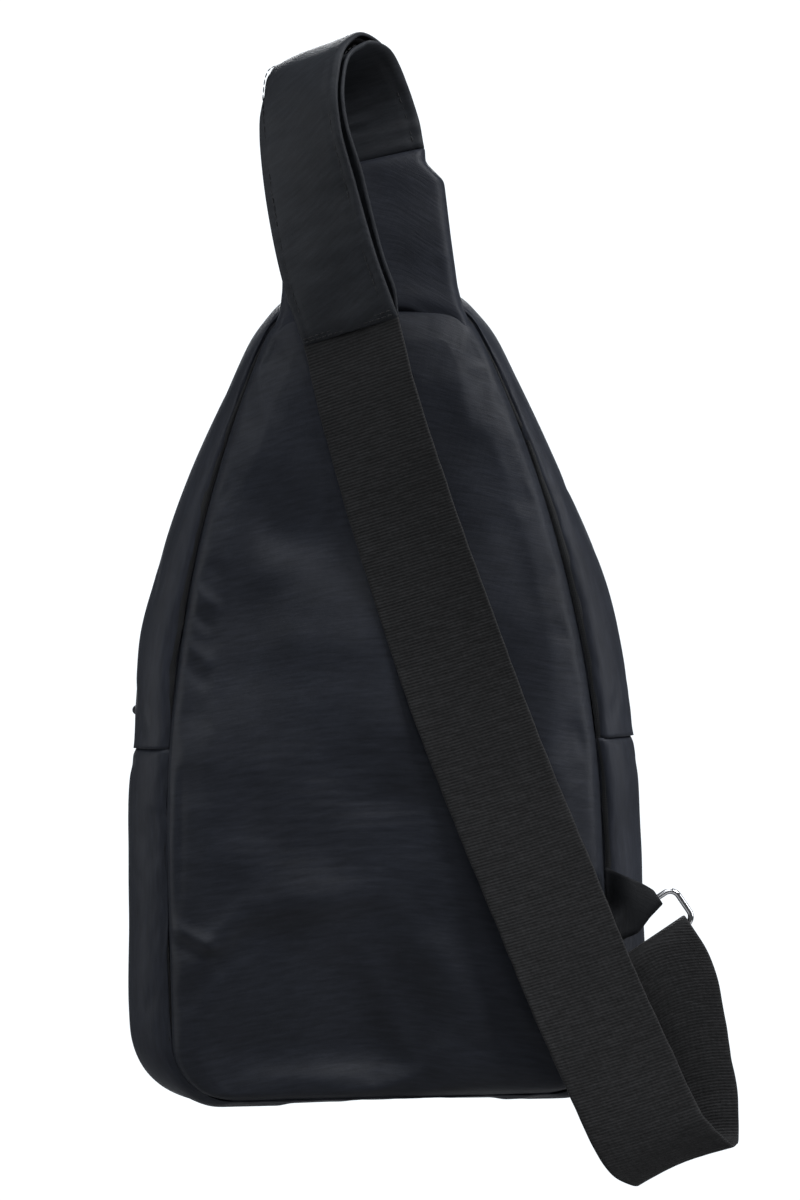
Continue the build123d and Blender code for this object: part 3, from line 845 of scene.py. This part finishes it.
def gusset_wrinkles(points, seed, amount):
    """Uneven cloth: long soft waves with short puckers beside the seams."""
    s = np.arctan2(points[..., 2] - 120, points[..., 0]) * 130
    y = points[..., 1]
    wave = 0.55 * bumps(s, y * 2.2, 55, seed) + 0.3 * bumps(s, y, 17, seed + 1) * bell(y, SEAM_Y, 7)
    return points + outward(points) * (amount * wave)[..., None]


def finish_gusset(gusset, seed, amount, node):
    """Wrinkles a gusset's sheet, thickens it and gives it its material."""
    finer(gusset)
    write_points(gusset, gusset_wrinkles(read_points(gusset), seed, amount))
    thicken(gusset, COVER, rounds=0)
    finish_piece(gusset, SHELL, "shell", node)


def build_gussets():
    rear_levels, front_levels = np.linspace(0, 1, 26) ** 1.2, np.linspace(0, 1, 12)
    points = np.stack([with_depth(*rear_section("upper", t)) for t in rear_levels])
    low = np.clip((points[..., 2] - GUSSET_SEAM_Z) / 5, 0, 1)
    points -= outward(points) * (0.1 * (1 - rounded(low * 5, 3)))[..., None]
    rear = sheet_mesh("zip_gusset_rear", points, outward(points))
    simulate(rear, points.shape[:2], pressure=3.0, slack=0.002, cap=0.8)
    finish_gusset(rear, 31, 0.4, "rear_zip_gusset")

    points = np.stack([with_depth(*front_section("upper", t)) for t in front_levels])
    front = sheet_mesh("zip_gusset_front", points, outward(points))
    finish_gusset(front, 37, 0.3, "front_zip_gusset")

    sections = [with_depth(*rear_section("lower", t)) for t in np.linspace(0, 1, 24) ** 1.2]
    zip_line = outline(ZIP_LINE, "lower")
    sections += [with_depth(zip_line, y) for y in np.linspace(ZIP_REAR_Y, ZIP_FRONT_Y, 9)[1:-1]]
    sections += [with_depth(*front_section("lower", t)) for t in front_levels]
    points = np.stack(sections)
    foot = bell(points[..., 2], 52, 26) * (points[..., 0] < 0)
    points += outward(points) * (1.2 * foot)[..., None]
    under = np.clip((4 - points[..., 2]) / 4, 0, 1) * bell(points[..., 1], -29, 4.5)
    points[..., 2] -= 2.2 * under
    head = np.clip((GUSSET_SEAM_Z - points[..., 2]) / 6, 0, 1)
    points += outward(points) * (1.0 * rounded(head * 6, 2.4) - 1.1)[..., None]
    lower = sheet_mesh("gusset_lower", points, outward(points))
    simulate(lower, points.shape[:2], pressure=3.0, slack=0.002, cap=0.8)
    finish_gusset(lower, 41, 0.45, "lower_gusset")


def build_gusset_lining():
    rear = [rear_section("all", t) for t in np.linspace(0.06, 1, 10)]
    front = [front_section("all", t) for t in np.linspace(0, 0.9, 6)]
    for name, sections, cut, nodes in (
        ("rear", rear, 0.0355, ("gusset_lining",)), ("front", front, 0.0145, ()),
    ):
        points = np.stack([with_depth(*s) for s in sections])
        inset = 1.6 + 0.25 * bumps(points[..., 0], points[..., 2], 30, 51)
        points -= outward(points) * inset[..., None]
        lining = sheet_mesh(f"lining_{name}", points, outward(points), close_cols=True)
        thicken(lining, LINER, rounds=0)
        finish_piece(lining, LINING, "lining", *nodes)


def build_front_panels():
    """The cloth below and above the pocket zip."""
    for name, low, high, cols, rows, bulge, slack, flat, area in (
        ("front_panel_lower", None, FRONT_ZIP_HEIGHT - 6, 64, 76,
         3.2, 0.016, (0.182, 0.196), 0.0352),
        ("front_panel_upper", FRONT_ZIP_HEIGHT + 6, None, 56, 44,
         1.6, 0.01, (0.153, 0.101), 0.0116),
    ):
        x, z = panel(FRONT_SEAM, cols, rows, low, high)
        zip_side = high if low is None else low
        d = np.minimum(edge_distance(x, z, FRONT_SEAM), np.abs(z - zip_side))
        y = front_depth(z) - 0.9 + 1.6 * rounded(d, 3.5) + bulge * rounded(d, 60)
        cover = sheet_mesh(f"{name}_cloth", np.stack([x, y, z], -1), FORWARD)
        simulate(cover, x.shape, pressure=3.0, slack=slack, cap=2.5)
        finer(cover)
        points = read_points(cover)
        x, z = points[:, 0], points[:, 2]
        lift = 0.5 * bumps(x, z, 50, 61) + 0.16 * bumps(x, z * 0.6, 16, 63)
        points[:, 1] += lift * rounded(edge_distance(x, z, FRONT_SEAM), 12)
        write_points(cover, points)
        thicken(cover, COVER, rounds=0)
        finish_piece(cover, SHELL, "shell", name)


def build_inner_layers():
    foam = plate("back_foam", BACK_SEAM, BACK_Y + 3.4, 2.6, 7.0, 2.0, near=back_foam_face)
    finish_piece(foam, FOAM, "foam", "back_panel_foam")
    for name, shape, start, inset, lean, node in (
        ("back_lining", BACK_SEAM, BACK_Y + 6.4, 2.0, False, "back_panel_lining"),
        ("pocket_backing", FRONT_SEAM, -9.6, 2.4, True, "front_pocket_backing"),
        ("front_lining", FRONT_SEAM, -11.2, 2.4, True, "front_panel_lining"),
    ):
        layer = plate(name, shape, start, LINER, inset, 0.4, lean)
        finish_piece(layer, LINING, "lining", node)
    rear = hoop("back_binding", BACK_SEAM, BACK_Y + 9.2)
    finish_piece(rear, BINDING, "binding", "back_seam_binding")
    front = hoop("front_binding", FRONT_SEAM, -13.2, lean=True)
    finish_piece(front, BINDING, "binding", "front_seam_binding")


# ---- seams ----
def welt(name, path, radius):
    """A thin round cord of shell cloth along a path."""
    along = tangents(path)
    side = unit(np.cross(along, DEEP))
    cord = sweep(name, path, side, np.cross(side, along), oval(8, radius, radius))
    finish_piece(cord, SHELL, "shell")


def stitch_run(name, path, normals, slot, pitch=STITCH_PITCH, length=STITCH_LENGTH):
    """A line of stitches along a path, lying flat on a surface with those normals."""
    places = frames_along(path, normals, pitch, spare=pitch / 4, ahead=0.4)
    run = instances(name, capsule(length, 0.28, 0.22), places)
    finish_piece(run, THREAD, slot)


# ---- yoke ----
def along_points(points, t):
    """Points at shares t of the length of a chain of points."""
    points = np.array(points, float)
    knots = run_lengths(points)
    return sample(points, knots, t * knots[-1])


def build_yoke():
    cols, rows = 44, 52
    u, v = np.linspace(0, 1, cols), np.linspace(0, 1, rows)
    base = along_points(
        [(-44, 303), (-30, 310.5), (-16, 317), (0, 319), (16, 317), (30, 310), (44, 303)], u)
    top = along_points([(-20.3, 375.2), (23.3, 383.6)], u)
    left = along_points(
        [(-44, 303), (-40.5, 311), (-37, 319), (-35.8, 328), (-35.2, 345), (-34, 361),
         (-31, 366), (-26, 370), (-20.3, 375.2)], v)
    right = along_points(
        [(44, 303), (40.5, 311), (37, 319), (35, 328), (32.8, 348), (31, 367), (30.6, 370.4),
         (24.2, 377.2), (23.4, 378.6), (23.3, 383.6)], v)
    u, v = u[None, :, None], v[:, None, None]
    flat = (
        (1 - v) * base[None] + v * top[None] + (1 - u) * left[:, None] + u * right[:, None]
        - ((1 - u) * ((1 - v) * base[0] + v * top[0]) + u * ((1 - v) * base[-1] + v * top[-1]))
    )
    x, z = flat[..., 0], flat[..., 1]
    edges = flat[:, :1], flat[:, -1:], flat[:1], flat[-1:]
    left, right, below, above = (np.linalg.norm(flat - edge, axis=2) for edge in edges)
    side = np.minimum(left, right)
    swell = rounded(side, 4.5)
    crease = 0.55 + 0.45 * rounded(below, 5.0)
    pinch = 0.62 + 0.38 * rounded(above, 6.0)
    relief = 0.35 * bumps(x, z, 30, 71) + 0.5 * ridge(x, z, (10, 326), (36, 317), 4.5)
    relief += 0.6 * ridge(x, z, (38, 322), (30, 345), 5.0)
    relief -= 0.6 * ridge(x, z, (14, 321), (38, 311), 3.0)
    front = YOKE_Y - (4.3 * swell * crease * pinch + relief * swell)
    rear = YOKE_Y + 3.0 * swell * pinch
    tuck = 1.2 * (1 - rounded(below, 3.0))
    for name, y, facing, node in (
        ("yoke_rear", front + tuck, BACKWARD, "yoke_rear_cover"),
        ("yoke_front", rear, FORWARD, "yoke_front_cover"),
    ):
        cover = sheet_mesh(name, np.stack([x, y, z], -1), facing)
        finer(cover)
        thicken(cover, 0.8, rounds=0)
        finish_piece(cover, SHELL, "shell", node)
    centre = flat.mean((0, 1))
    inner = centre + (flat - centre) * (0.93, 0.96)
    thick = rounded(side, 6)
    near = np.stack([inner[..., 0], YOKE_Y - 1.9 * thick, inner[..., 1]], -1)
    far = np.stack([inner[..., 0], YOKE_Y + 1.4 * thick, inner[..., 1]], -1)
    foam = closed_layer("yoke_filling", near, far)
    finish_piece(foam, FOAM, "foam", "yoke_foam")


# ---- strap ----
def build_pad(s, path, across, out, end, crest, shoulder):
    """The pad's two covers, its filling and its stitches, along the strap's first end mm."""
    half = STRAP_WIDTH / 2
    ends = np.minimum(s, end - s)
    pinch = 0.45 + 0.55 * rounded(ends, 9.0)
    rim = [(1.1, 0.25), (0.35, 0.45), (0, 1.0), (0.15, 1.75), (0.9, 2.3)]
    rim = [(x - half, o) for x, o in rim]
    crown = np.linspace(-half + 2.2, half - 2.2, 22)
    top = [(a, 2.55 + 0.55 * (1 - (a / half) ** 2)) for a in crown]
    profile = np.array(rim + top + [(-a, o) for a, o in rim[::-1]])
    a = np.repeat(profile[None, :, 0], len(s), 0)
    o = profile[None, :, 1] * pinch[:, None]
    run = s[:, None] + 0 * a
    seam_dip = 0.32 * bell(np.abs(a), half - PAD_STITCH_IN, 0.8)
    sway = 0.35 * np.sin(s / 19)[:, None]
    a = a * (1 - 0.24 * bell(s, shoulder, 14)[:, None] * (a < 0))
    wrinkle = 0.16 * bumps(a * 0.35, run, 9, 81) + 0.2 * bumps(a, run, 34, 83)
    face = o - seam_dip + wrinkle * (np.abs(a) < half - 2)

    rising = bell(s, 18, 16)[:, None]
    ripple = 0.55 * np.sin(2 * math.pi * s / 7.5)[:, None]
    folds = rising * (ripple * (0.6 + 0.4 * bumps(a, run, 20, 85)))
    wider = 0.8 + 1.9 * smoothstep(s, crest + 30, crest + 62) + 2.4 * bell(s, crest - 9, 13)
    hollow = 2.4 * bell(s, crest - 3, 11)[:, None]
    side = wider[:, None] * np.clip(a / half, 0, 1) ** 2 * smoothstep(ends, 0, 12)[:, None]
    for name, sign, grid in (
        ("outer", 1, ribbon_grid(path, across, out, a + sway, face)),
        ("inner", -1, ribbon_grid(path, across, out, a - sway + side, -(face + folds + hollow))),
    ):
        cover = sheet_mesh(f"pad_{name}", grid, np.repeat(sign * out[:, None], len(profile), 1))
        thicken(cover, PAD_COVER)
        finish_piece(cover, PAD, "pad_cover", f"strap_pad_{name}_cover")

    turns = np.linspace(0, 2 * math.pi, 28, endpoint=False)
    flat = np.sign(np.cos(turns)) * np.abs(np.cos(turns)) ** 0.35
    core = np.stack([flat * (half - 2.6), np.sin(turns) * 1.5], -1)
    foam = sweep("pad_filling", path[2:-4], across[2:-4], out[2:-4], core)
    finish_piece(foam, FOAM, "foam", "strap_pad_foam")

    for side, label in ((-1, "left"), (1, "right")):
        for sign, name in ((1, "outer"), (-1, "inner")):
            lift = sign * (2.62 * pinch - 0.22)[:, None]
            line = path + across * (side * (half - PAD_STITCH_IN)) + out * lift
            stitch_run(f"pad_stitch_{name}_{label}", line, out * sign, "pad_cover")


def build_webbing(s, path, across, out, turn_over):
    half = STRAP_WIDTH / 2
    columns = np.linspace(-half, half, 33)
    a = np.repeat(columns[None], len(s), 0)
    a = a * (1 - 0.2 * bell(s, turn_over, 11)[:, None] * smoothstep(-a, 0, half))
    run = s[:, None] + 0 * a
    edge = np.clip((np.abs(a) - (half - 2.0)) / 2.0, 0, 1)
    loose = np.clip((s[-1] - 30 - s) / 40, 0, 1)[:, None]
    cup = 0.35 * (a / half) ** 2 * loose
    uneven = 0.22 * bumps(a, run, 38, 91) * loose
    wave = 0.3 * np.sin(s / 23 + 1.2)[:, None] * edge * loose
    hem = 0.12 * bumps(0 * a, run, 12, 93) * edge
    grid = ribbon_grid(path, across, out, a + np.sign(a) * hem, cup + uneven + wave)
    web = sheet_mesh("webbing", grid, np.repeat(out[:, None], len(columns), 1))
    thicken(web, WEBBING - 0.3, offset=0.0)
    finish_piece(web, WEB, "webbing", "strap_webbing")


def build_strap():
    stations = PAD_STATIONS + WEBBING_STATIONS + loop_stations()
    knots, s, path, across, out = smooth_strap(stations, 1.6)
    end = knots[PAD_LAST]
    pad, web = s <= end + 1e-6, s >= end - 9.0  # the webbing starts inside the pad
    build_pad(s[pad], path[pad], across[pad], out[pad], end, knots[CREST], knots[CREST + 1] + 3)
    build_webbing(s[web], path[web], across[web], out[web], knots[FOLD] - 2)
    reach = STRAP_WIDTH / 2 - 1.5
    span = np.linspace(-reach, reach, 30)[:, None]
    for row, label in ((2.2, "a"), (5.0, "b")):
        i = np.searchsorted(s, end - row)
        line = path[i] + across[i] * span + out[i] * (2.1 + row * 0.08)
        normals = np.repeat(out[i][None], len(span), 0)
        stitch_run(f"pad_end_stitch_outer_{label}", line, normals, "pad_cover", 2.8, 2.1)


# ---- ring and tab ----
def build_ring():
    w, h = RING_LENGTH / 2 - RING_CORNER, RING_HEIGHT / 2 - RING_CORNER
    corners = [(w, h, 0), (-w, h, 90), (-w, -h, 180), (w, -h, 270)]
    arcs = [arc(x, y, RING_CORNER, *np.radians([a, a + 90]), 14) for x, y, a in corners]
    upper, lower = (np.linspace(arcs[i][-1], arcs[i + 1][0], 30)[1:-1] for i in (0, 2))
    flat = np.concatenate([arcs[0], upper, arcs[1], arcs[2], lower, arcs[3]])
    path = RING_CENTRE + flat[:, :1] * RING_RIGHT + flat[:, 1:] * RING_UP
    deep = np.broadcast_to(DEEP, path.shape)
    side = np.cross(tangents(path, closed=True), deep)
    profile = oval(20, RING_WIRE / 2, RING_WIRE / 2)
    ring = sweep("ring_wire", path, side, deep, profile, closed=True)
    finish_piece(ring, CHROME, "ring_metal", "strap_ring", body="ring")


def build_tab():
    """A folded tab: cloth from the side seam, round under the ring's upper bar and back. It is
    drawn larger than the real tab so that its dark cloth also fills the shade between the strap's
    edge and the ring: partly real tab, partly painted shade.
    """
    bar = RING_CENTRE + RING_UP * (RING_HEIGHT / 2)
    spans = np.linspace(-6.0, 17.6, 26)
    rises = np.interp(spans, [-6, 0, 6.5, 15.4, 17.6], [2.2, 10.5, 21.5, 8.0, 3.0])
    drops = np.interp(spans, [-6, 3, 10, 17.6], [5.4, 7.2, 4.6, 2.9])
    radius = 2.3
    rows, middles = [], []
    for span, rise, drop in zip(spans, rises, drops):
        foot = bar + RING_RIGHT * span
        near, far = [], []
        for k in np.linspace(1, 0, 10):
            height = -(drop - radius) + (rise + drop - radius) * k
            gap = radius * (1 - 0.62 * k**0.7)
            point = foot + RING_UP * height
            inwards = 6.6 * smoothstep(height, 2.2, 8.0) * smoothstep(-point[0], -97.5, -89)
            near.append(point + DEEP * (inwards - gap))
            far.insert(0, point + DEEP * (inwards + gap))
        low = foot - RING_UP * (drop - radius)
        bend = [low - radius * (RING_UP * math.sin(t) + DEEP * math.cos(t))
                for t in np.linspace(0, math.pi, 9)[1:-1]]
        rows.append(near + bend + far)
        middles.append([foot + RING_UP * (rise - drop) / 2] * len(rows[-1]))
    points = np.array(rows).transpose(1, 0, 2)
    points[..., 1] += 0.25 * bumps(points[..., 0], points[..., 2], 14, 95)
    tab = sheet_mesh("ring_tab_fold", points, points - np.array(middles).transpose(1, 0, 2))
    thicken(tab, 0.8, offset=0.0)
    finish_piece(tab, TAB_PAINTED_SHADE, "shell", "ring_tab")


# ---- zips ----
def zip_side(kind, label, tape_points, normals, coil_path, coil_normals, away, staggered):
    """A zip's tape and coil on one side. away points from the teeth's middle over the tape."""
    facing = np.repeat(normals[None], tape_points.shape[1], 0)
    tape = sheet_mesh(f"{kind}_tape_{label}", tape_points.transpose(1, 0, 2), facing)
    thicken(tape, TAPE_CLOTH, rounds=0)
    finish_piece(tape, TAPE, "zip_tape", f"{kind}_zip_{label}_tape")
    shift = TOOTH_PITCH / 2 if staggered else 0.0
    places = [(p + x * shift + away * TOOTH_OUT, x, away, z)
              for p, x, _, z in frames_along(coil_path, coil_normals, TOOTH_PITCH)]
    coil = instances(f"{kind}_coil_{label}", tooth(), places)
    finish_piece(coil, COIL, "zip_coil", f"{kind}_zip_{label}_coil")


def build_main_zip():
    line = outline(ZIP_LINE, "upper")
    path = with_depth(line, ZIP_Y)
    along = np.gradient(line, axis=0)
    normals = unit(np.stack([along[:, 1], np.zeros(len(line)), -along[:, 0]], -1))
    keep = path[:, 2] > GUSSET_SEAM_Z + 6.5
    steps = np.array([1.5, 3.2, 5.2, 7.4, 9.4, 11.0])
    sink = np.array([0.0, 0.0, 0.05, 0.15, 0.35, 0.9])
    for label, sign in (("rear", -1), ("front", 1)):
        tape = path[:, None] + DEEP * (sign * steps)[None, :, None]
        tape = tape - normals[:, None] * (sink + 0.3)[None, :, None]
        zip_side("main", label, tape, normals, path[keep], normals[keep], DEEP * sign, sign > 0)
        welt(f"main_zip_welt_{label}", path + DEEP * (sign * 10.6) + normals * 0.35, 0.9)
    z = np.linspace(GUSSET_SEAM_Z + 0.2, GUSSET_SEAM_Z + 6.2, 7)
    lift = 0.45 + 0.7 * np.sin(math.pi * (z - GUSSET_SEAM_Z) / 6.4)
    y = np.linspace(1.0, 21.0, 12)
    for label, sign, edge, nodes in (
        ("right", 1, path, ("main_zip_end_tabs",)), ("left", -1, path[::-1], ()),
    ):
        x = np.interp(z, edge[:SIDE_POINTS, 2], edge[:SIDE_POINTS, 0]) + sign * lift
        grid = np.stack(np.broadcast_arrays(x[:, None], y[None], z[:, None]), -1)
        end = sheet_mesh(f"main_zip_end_{label}", grid, (sign, 0, 0))
        thicken(end, 0.7, offset=0.0)
        finish_piece(end, SHELL, "shell", *nodes)


def build_front_zip():
    out = np.array((0, math.cos(FRONT_LEAN), math.sin(FRONT_LEAN)))
    up = np.array((0, -math.sin(FRONT_LEAN), math.cos(FRONT_LEAN)))
    reach = half_width(FRONT_SEAM, FRONT_ZIP_HEIGHT) - 1.0
    x = np.linspace(-reach, reach, 80)
    normals = np.repeat(out[None], len(x), 0)
    centre = DEEP * FRONT_Y + up * FRONT_ZIP_HEIGHT + np.array((1.0, 0, 0)) * x[:, None]
    keep = np.abs(x) < 72.5
    steps = np.array([1.5, 3.0, 4.5, 6.2, 7.6])
    sink = np.array([0.0, 0.0, 0.1, 0.4, 1.0])
    for label, sign in (("lower", -1), ("upper", 1)):
        tape = centre[:, None] + up * (sign * steps)[None, :, None]
        tape = tape + out * (0.75 - sink)[None, :, None]
        coil_path = centre[keep] + out * 0.7
        zip_side("front", label, tape, normals, coil_path, normals[keep], up * sign, sign > 0)
        welt(f"front_zip_welt_{label}", centre + up * (sign * 6.6) + out * 0.9, 0.8)
        row = centre + up * (sign * 9.3) + out * 1.8
        stitch_run(f"front_zip_stitch_{label}", row[4:-4], normals[4:-4], "shell")


def finish_hard_parts():
    for name in (
        "main_zip_slider", "main_zip_pull",
        "front_zip_slider", "front_zip_pull", "front_zip_end_stops",
    ):
        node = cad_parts[name]
        paint(node, ZIP_METAL)
        modify(node, "WELD", merge_threshold=0.002 * MM)
        modify(node, "BEVEL", width=0.25 * MM, segments=3, limit_method="ANGLE",
               angle_limit=math.radians(40), harden_normals=True)


# ---- surroundings, in metres ----
def build_stage():
    """A pale floor well below the hanging bag."""
    half, depth, floor_z = 1.3, 1.2, -0.85
    verts = [(x * half, y * depth, floor_z) for x, y in ((-1, -1), (1, -1), (1, 1), (-1, 1))]
    mesh = bpy.data.meshes.new("floor")
    mesh.from_pydata(verts, [], [(0, 1, 2, 3)])
    mesh.materials.append(Shader("studio_floor", (0.32, 0.32, 0.32), 0.9).material)
    add_object("studio_floor", mesh)


MIDDLE = (0.02, 0.0, -0.2)
COOL = (0.95, 0.97, 1.0)
LIGHTS = [  # name, place, target, size, power, colour
    ("key", (1.25, -0.85, 1.1), MIDDLE, (0.75, 0.75), 32, (0.97, 0.98, 1.0)),
    ("fill", (-1.1, -1.0, 0.7), (-0.02, 0.0, -0.05), (0.7, 0.7), 6.5, (0.92, 0.96, 1.0)),
    ("left", (-1.5, 0.02, -0.15), MIDDLE, (0.8, 0.8), 4.0, COOL),
    ("right", (1.5, -0.15, -0.05), MIDDLE, (0.8, 0.8), 6.0, COOL),
    ("front", (0.05, -1.4, 0.75), MIDDLE, (0.9, 0.9), 3.5, COOL),
    ("top", (-0.2, -0.75, 1.5), MIDDLE, (1.2, 0.8), 8, COOL),
    ("rear", (0.0, 1.4, 0.8), MIDDLE, (0.9, 0.7), 16, (0.97, 0.98, 1.0)),
]


def build_lights():
    for name, place, target, size, power, color in LIGHTS:
        data = bpy.data.lights.new(name, "AREA")
        data.shape = "RECTANGLE"
        data.size, data.size_y = size
        data.energy = power
        data.color = color
        lamp = add_object(name, data)
        lamp.visible_camera = False
        lamp.location = place
        lamp.rotation_mode = "QUATERNION"
        lamp.rotation_quaternion = (Vector(target) - Vector(place)).to_track_quat("-Z", "Y")


def build_world():
    """Dim all round, brighter upwards, with a white backdrop behind the bag."""
    world = bpy.data.worlds.new("studio")
    world.use_nodes = True
    tree = world.node_tree
    coords = tree.nodes.new("ShaderNodeTexCoord")
    axes = tree.nodes.new("ShaderNodeSeparateXYZ")
    tree.links.new(coords.outputs["Generated"], axes.inputs[0])

    def ramp(axis, low, high, start, end, kind="LINEAR"):
        node = tree.nodes.new("ShaderNodeMapRange")
        node.interpolation_type = kind
        ends = {"From Min": low, "From Max": high, "To Min": start, "To Max": end}
        for socket, value in ends.items():
            node.inputs[socket].default_value = value
        tree.links.new(axes.outputs[axis], node.inputs["Value"])
        return node.outputs["Result"]

    total = tree.nodes.new("ShaderNodeMath")
    tree.links.new(ramp("Z", -0.5, 0.9, 0.04, 0.12), total.inputs[0])
    tree.links.new(ramp("Y", 0.88, 0.95, 0.0, 1.1, "SMOOTHSTEP"), total.inputs[1])
    tree.links.new(total.outputs[0], tree.nodes["Background"].inputs["Strength"])
    tree.nodes["Background"].inputs["Color"].default_value = (0.92, 0.96, 1.0, 1)
    bpy.context.scene.world = world
    bpy.context.scene.view_settings.view_transform = "Standard"


def build_camera():
    """Level with the bag's middle, square to its back, turned a little about its own axis."""
    data = bpy.data.cameras.new("camera")
    data.lens, data.sensor_width = 85.0, 36.0
    data.clip_start, data.clip_end = 0.05, 20
    camera = add_object("camera", data)
    roll = math.radians(1.48)
    right = Vector((math.cos(roll), 0, -math.sin(roll)))
    up = Vector((math.sin(roll), 0, math.cos(roll)))
    place = Matrix((right, up, (0, -1, 0))).transposed().to_4x4()
    place.translation = (0.027, -1.1286, -0.2142)
    camera.matrix_world = place
    bpy.context.scene.camera = camera


build_camera()
build_lights()
build_world()
build_stage()
build_back_panel()
build_gussets()
build_gusset_lining()
build_front_panels()
build_inner_layers()
build_yoke()
build_strap()
build_ring()
build_tab()
build_main_zip()
build_front_zip()
finish_hard_parts()
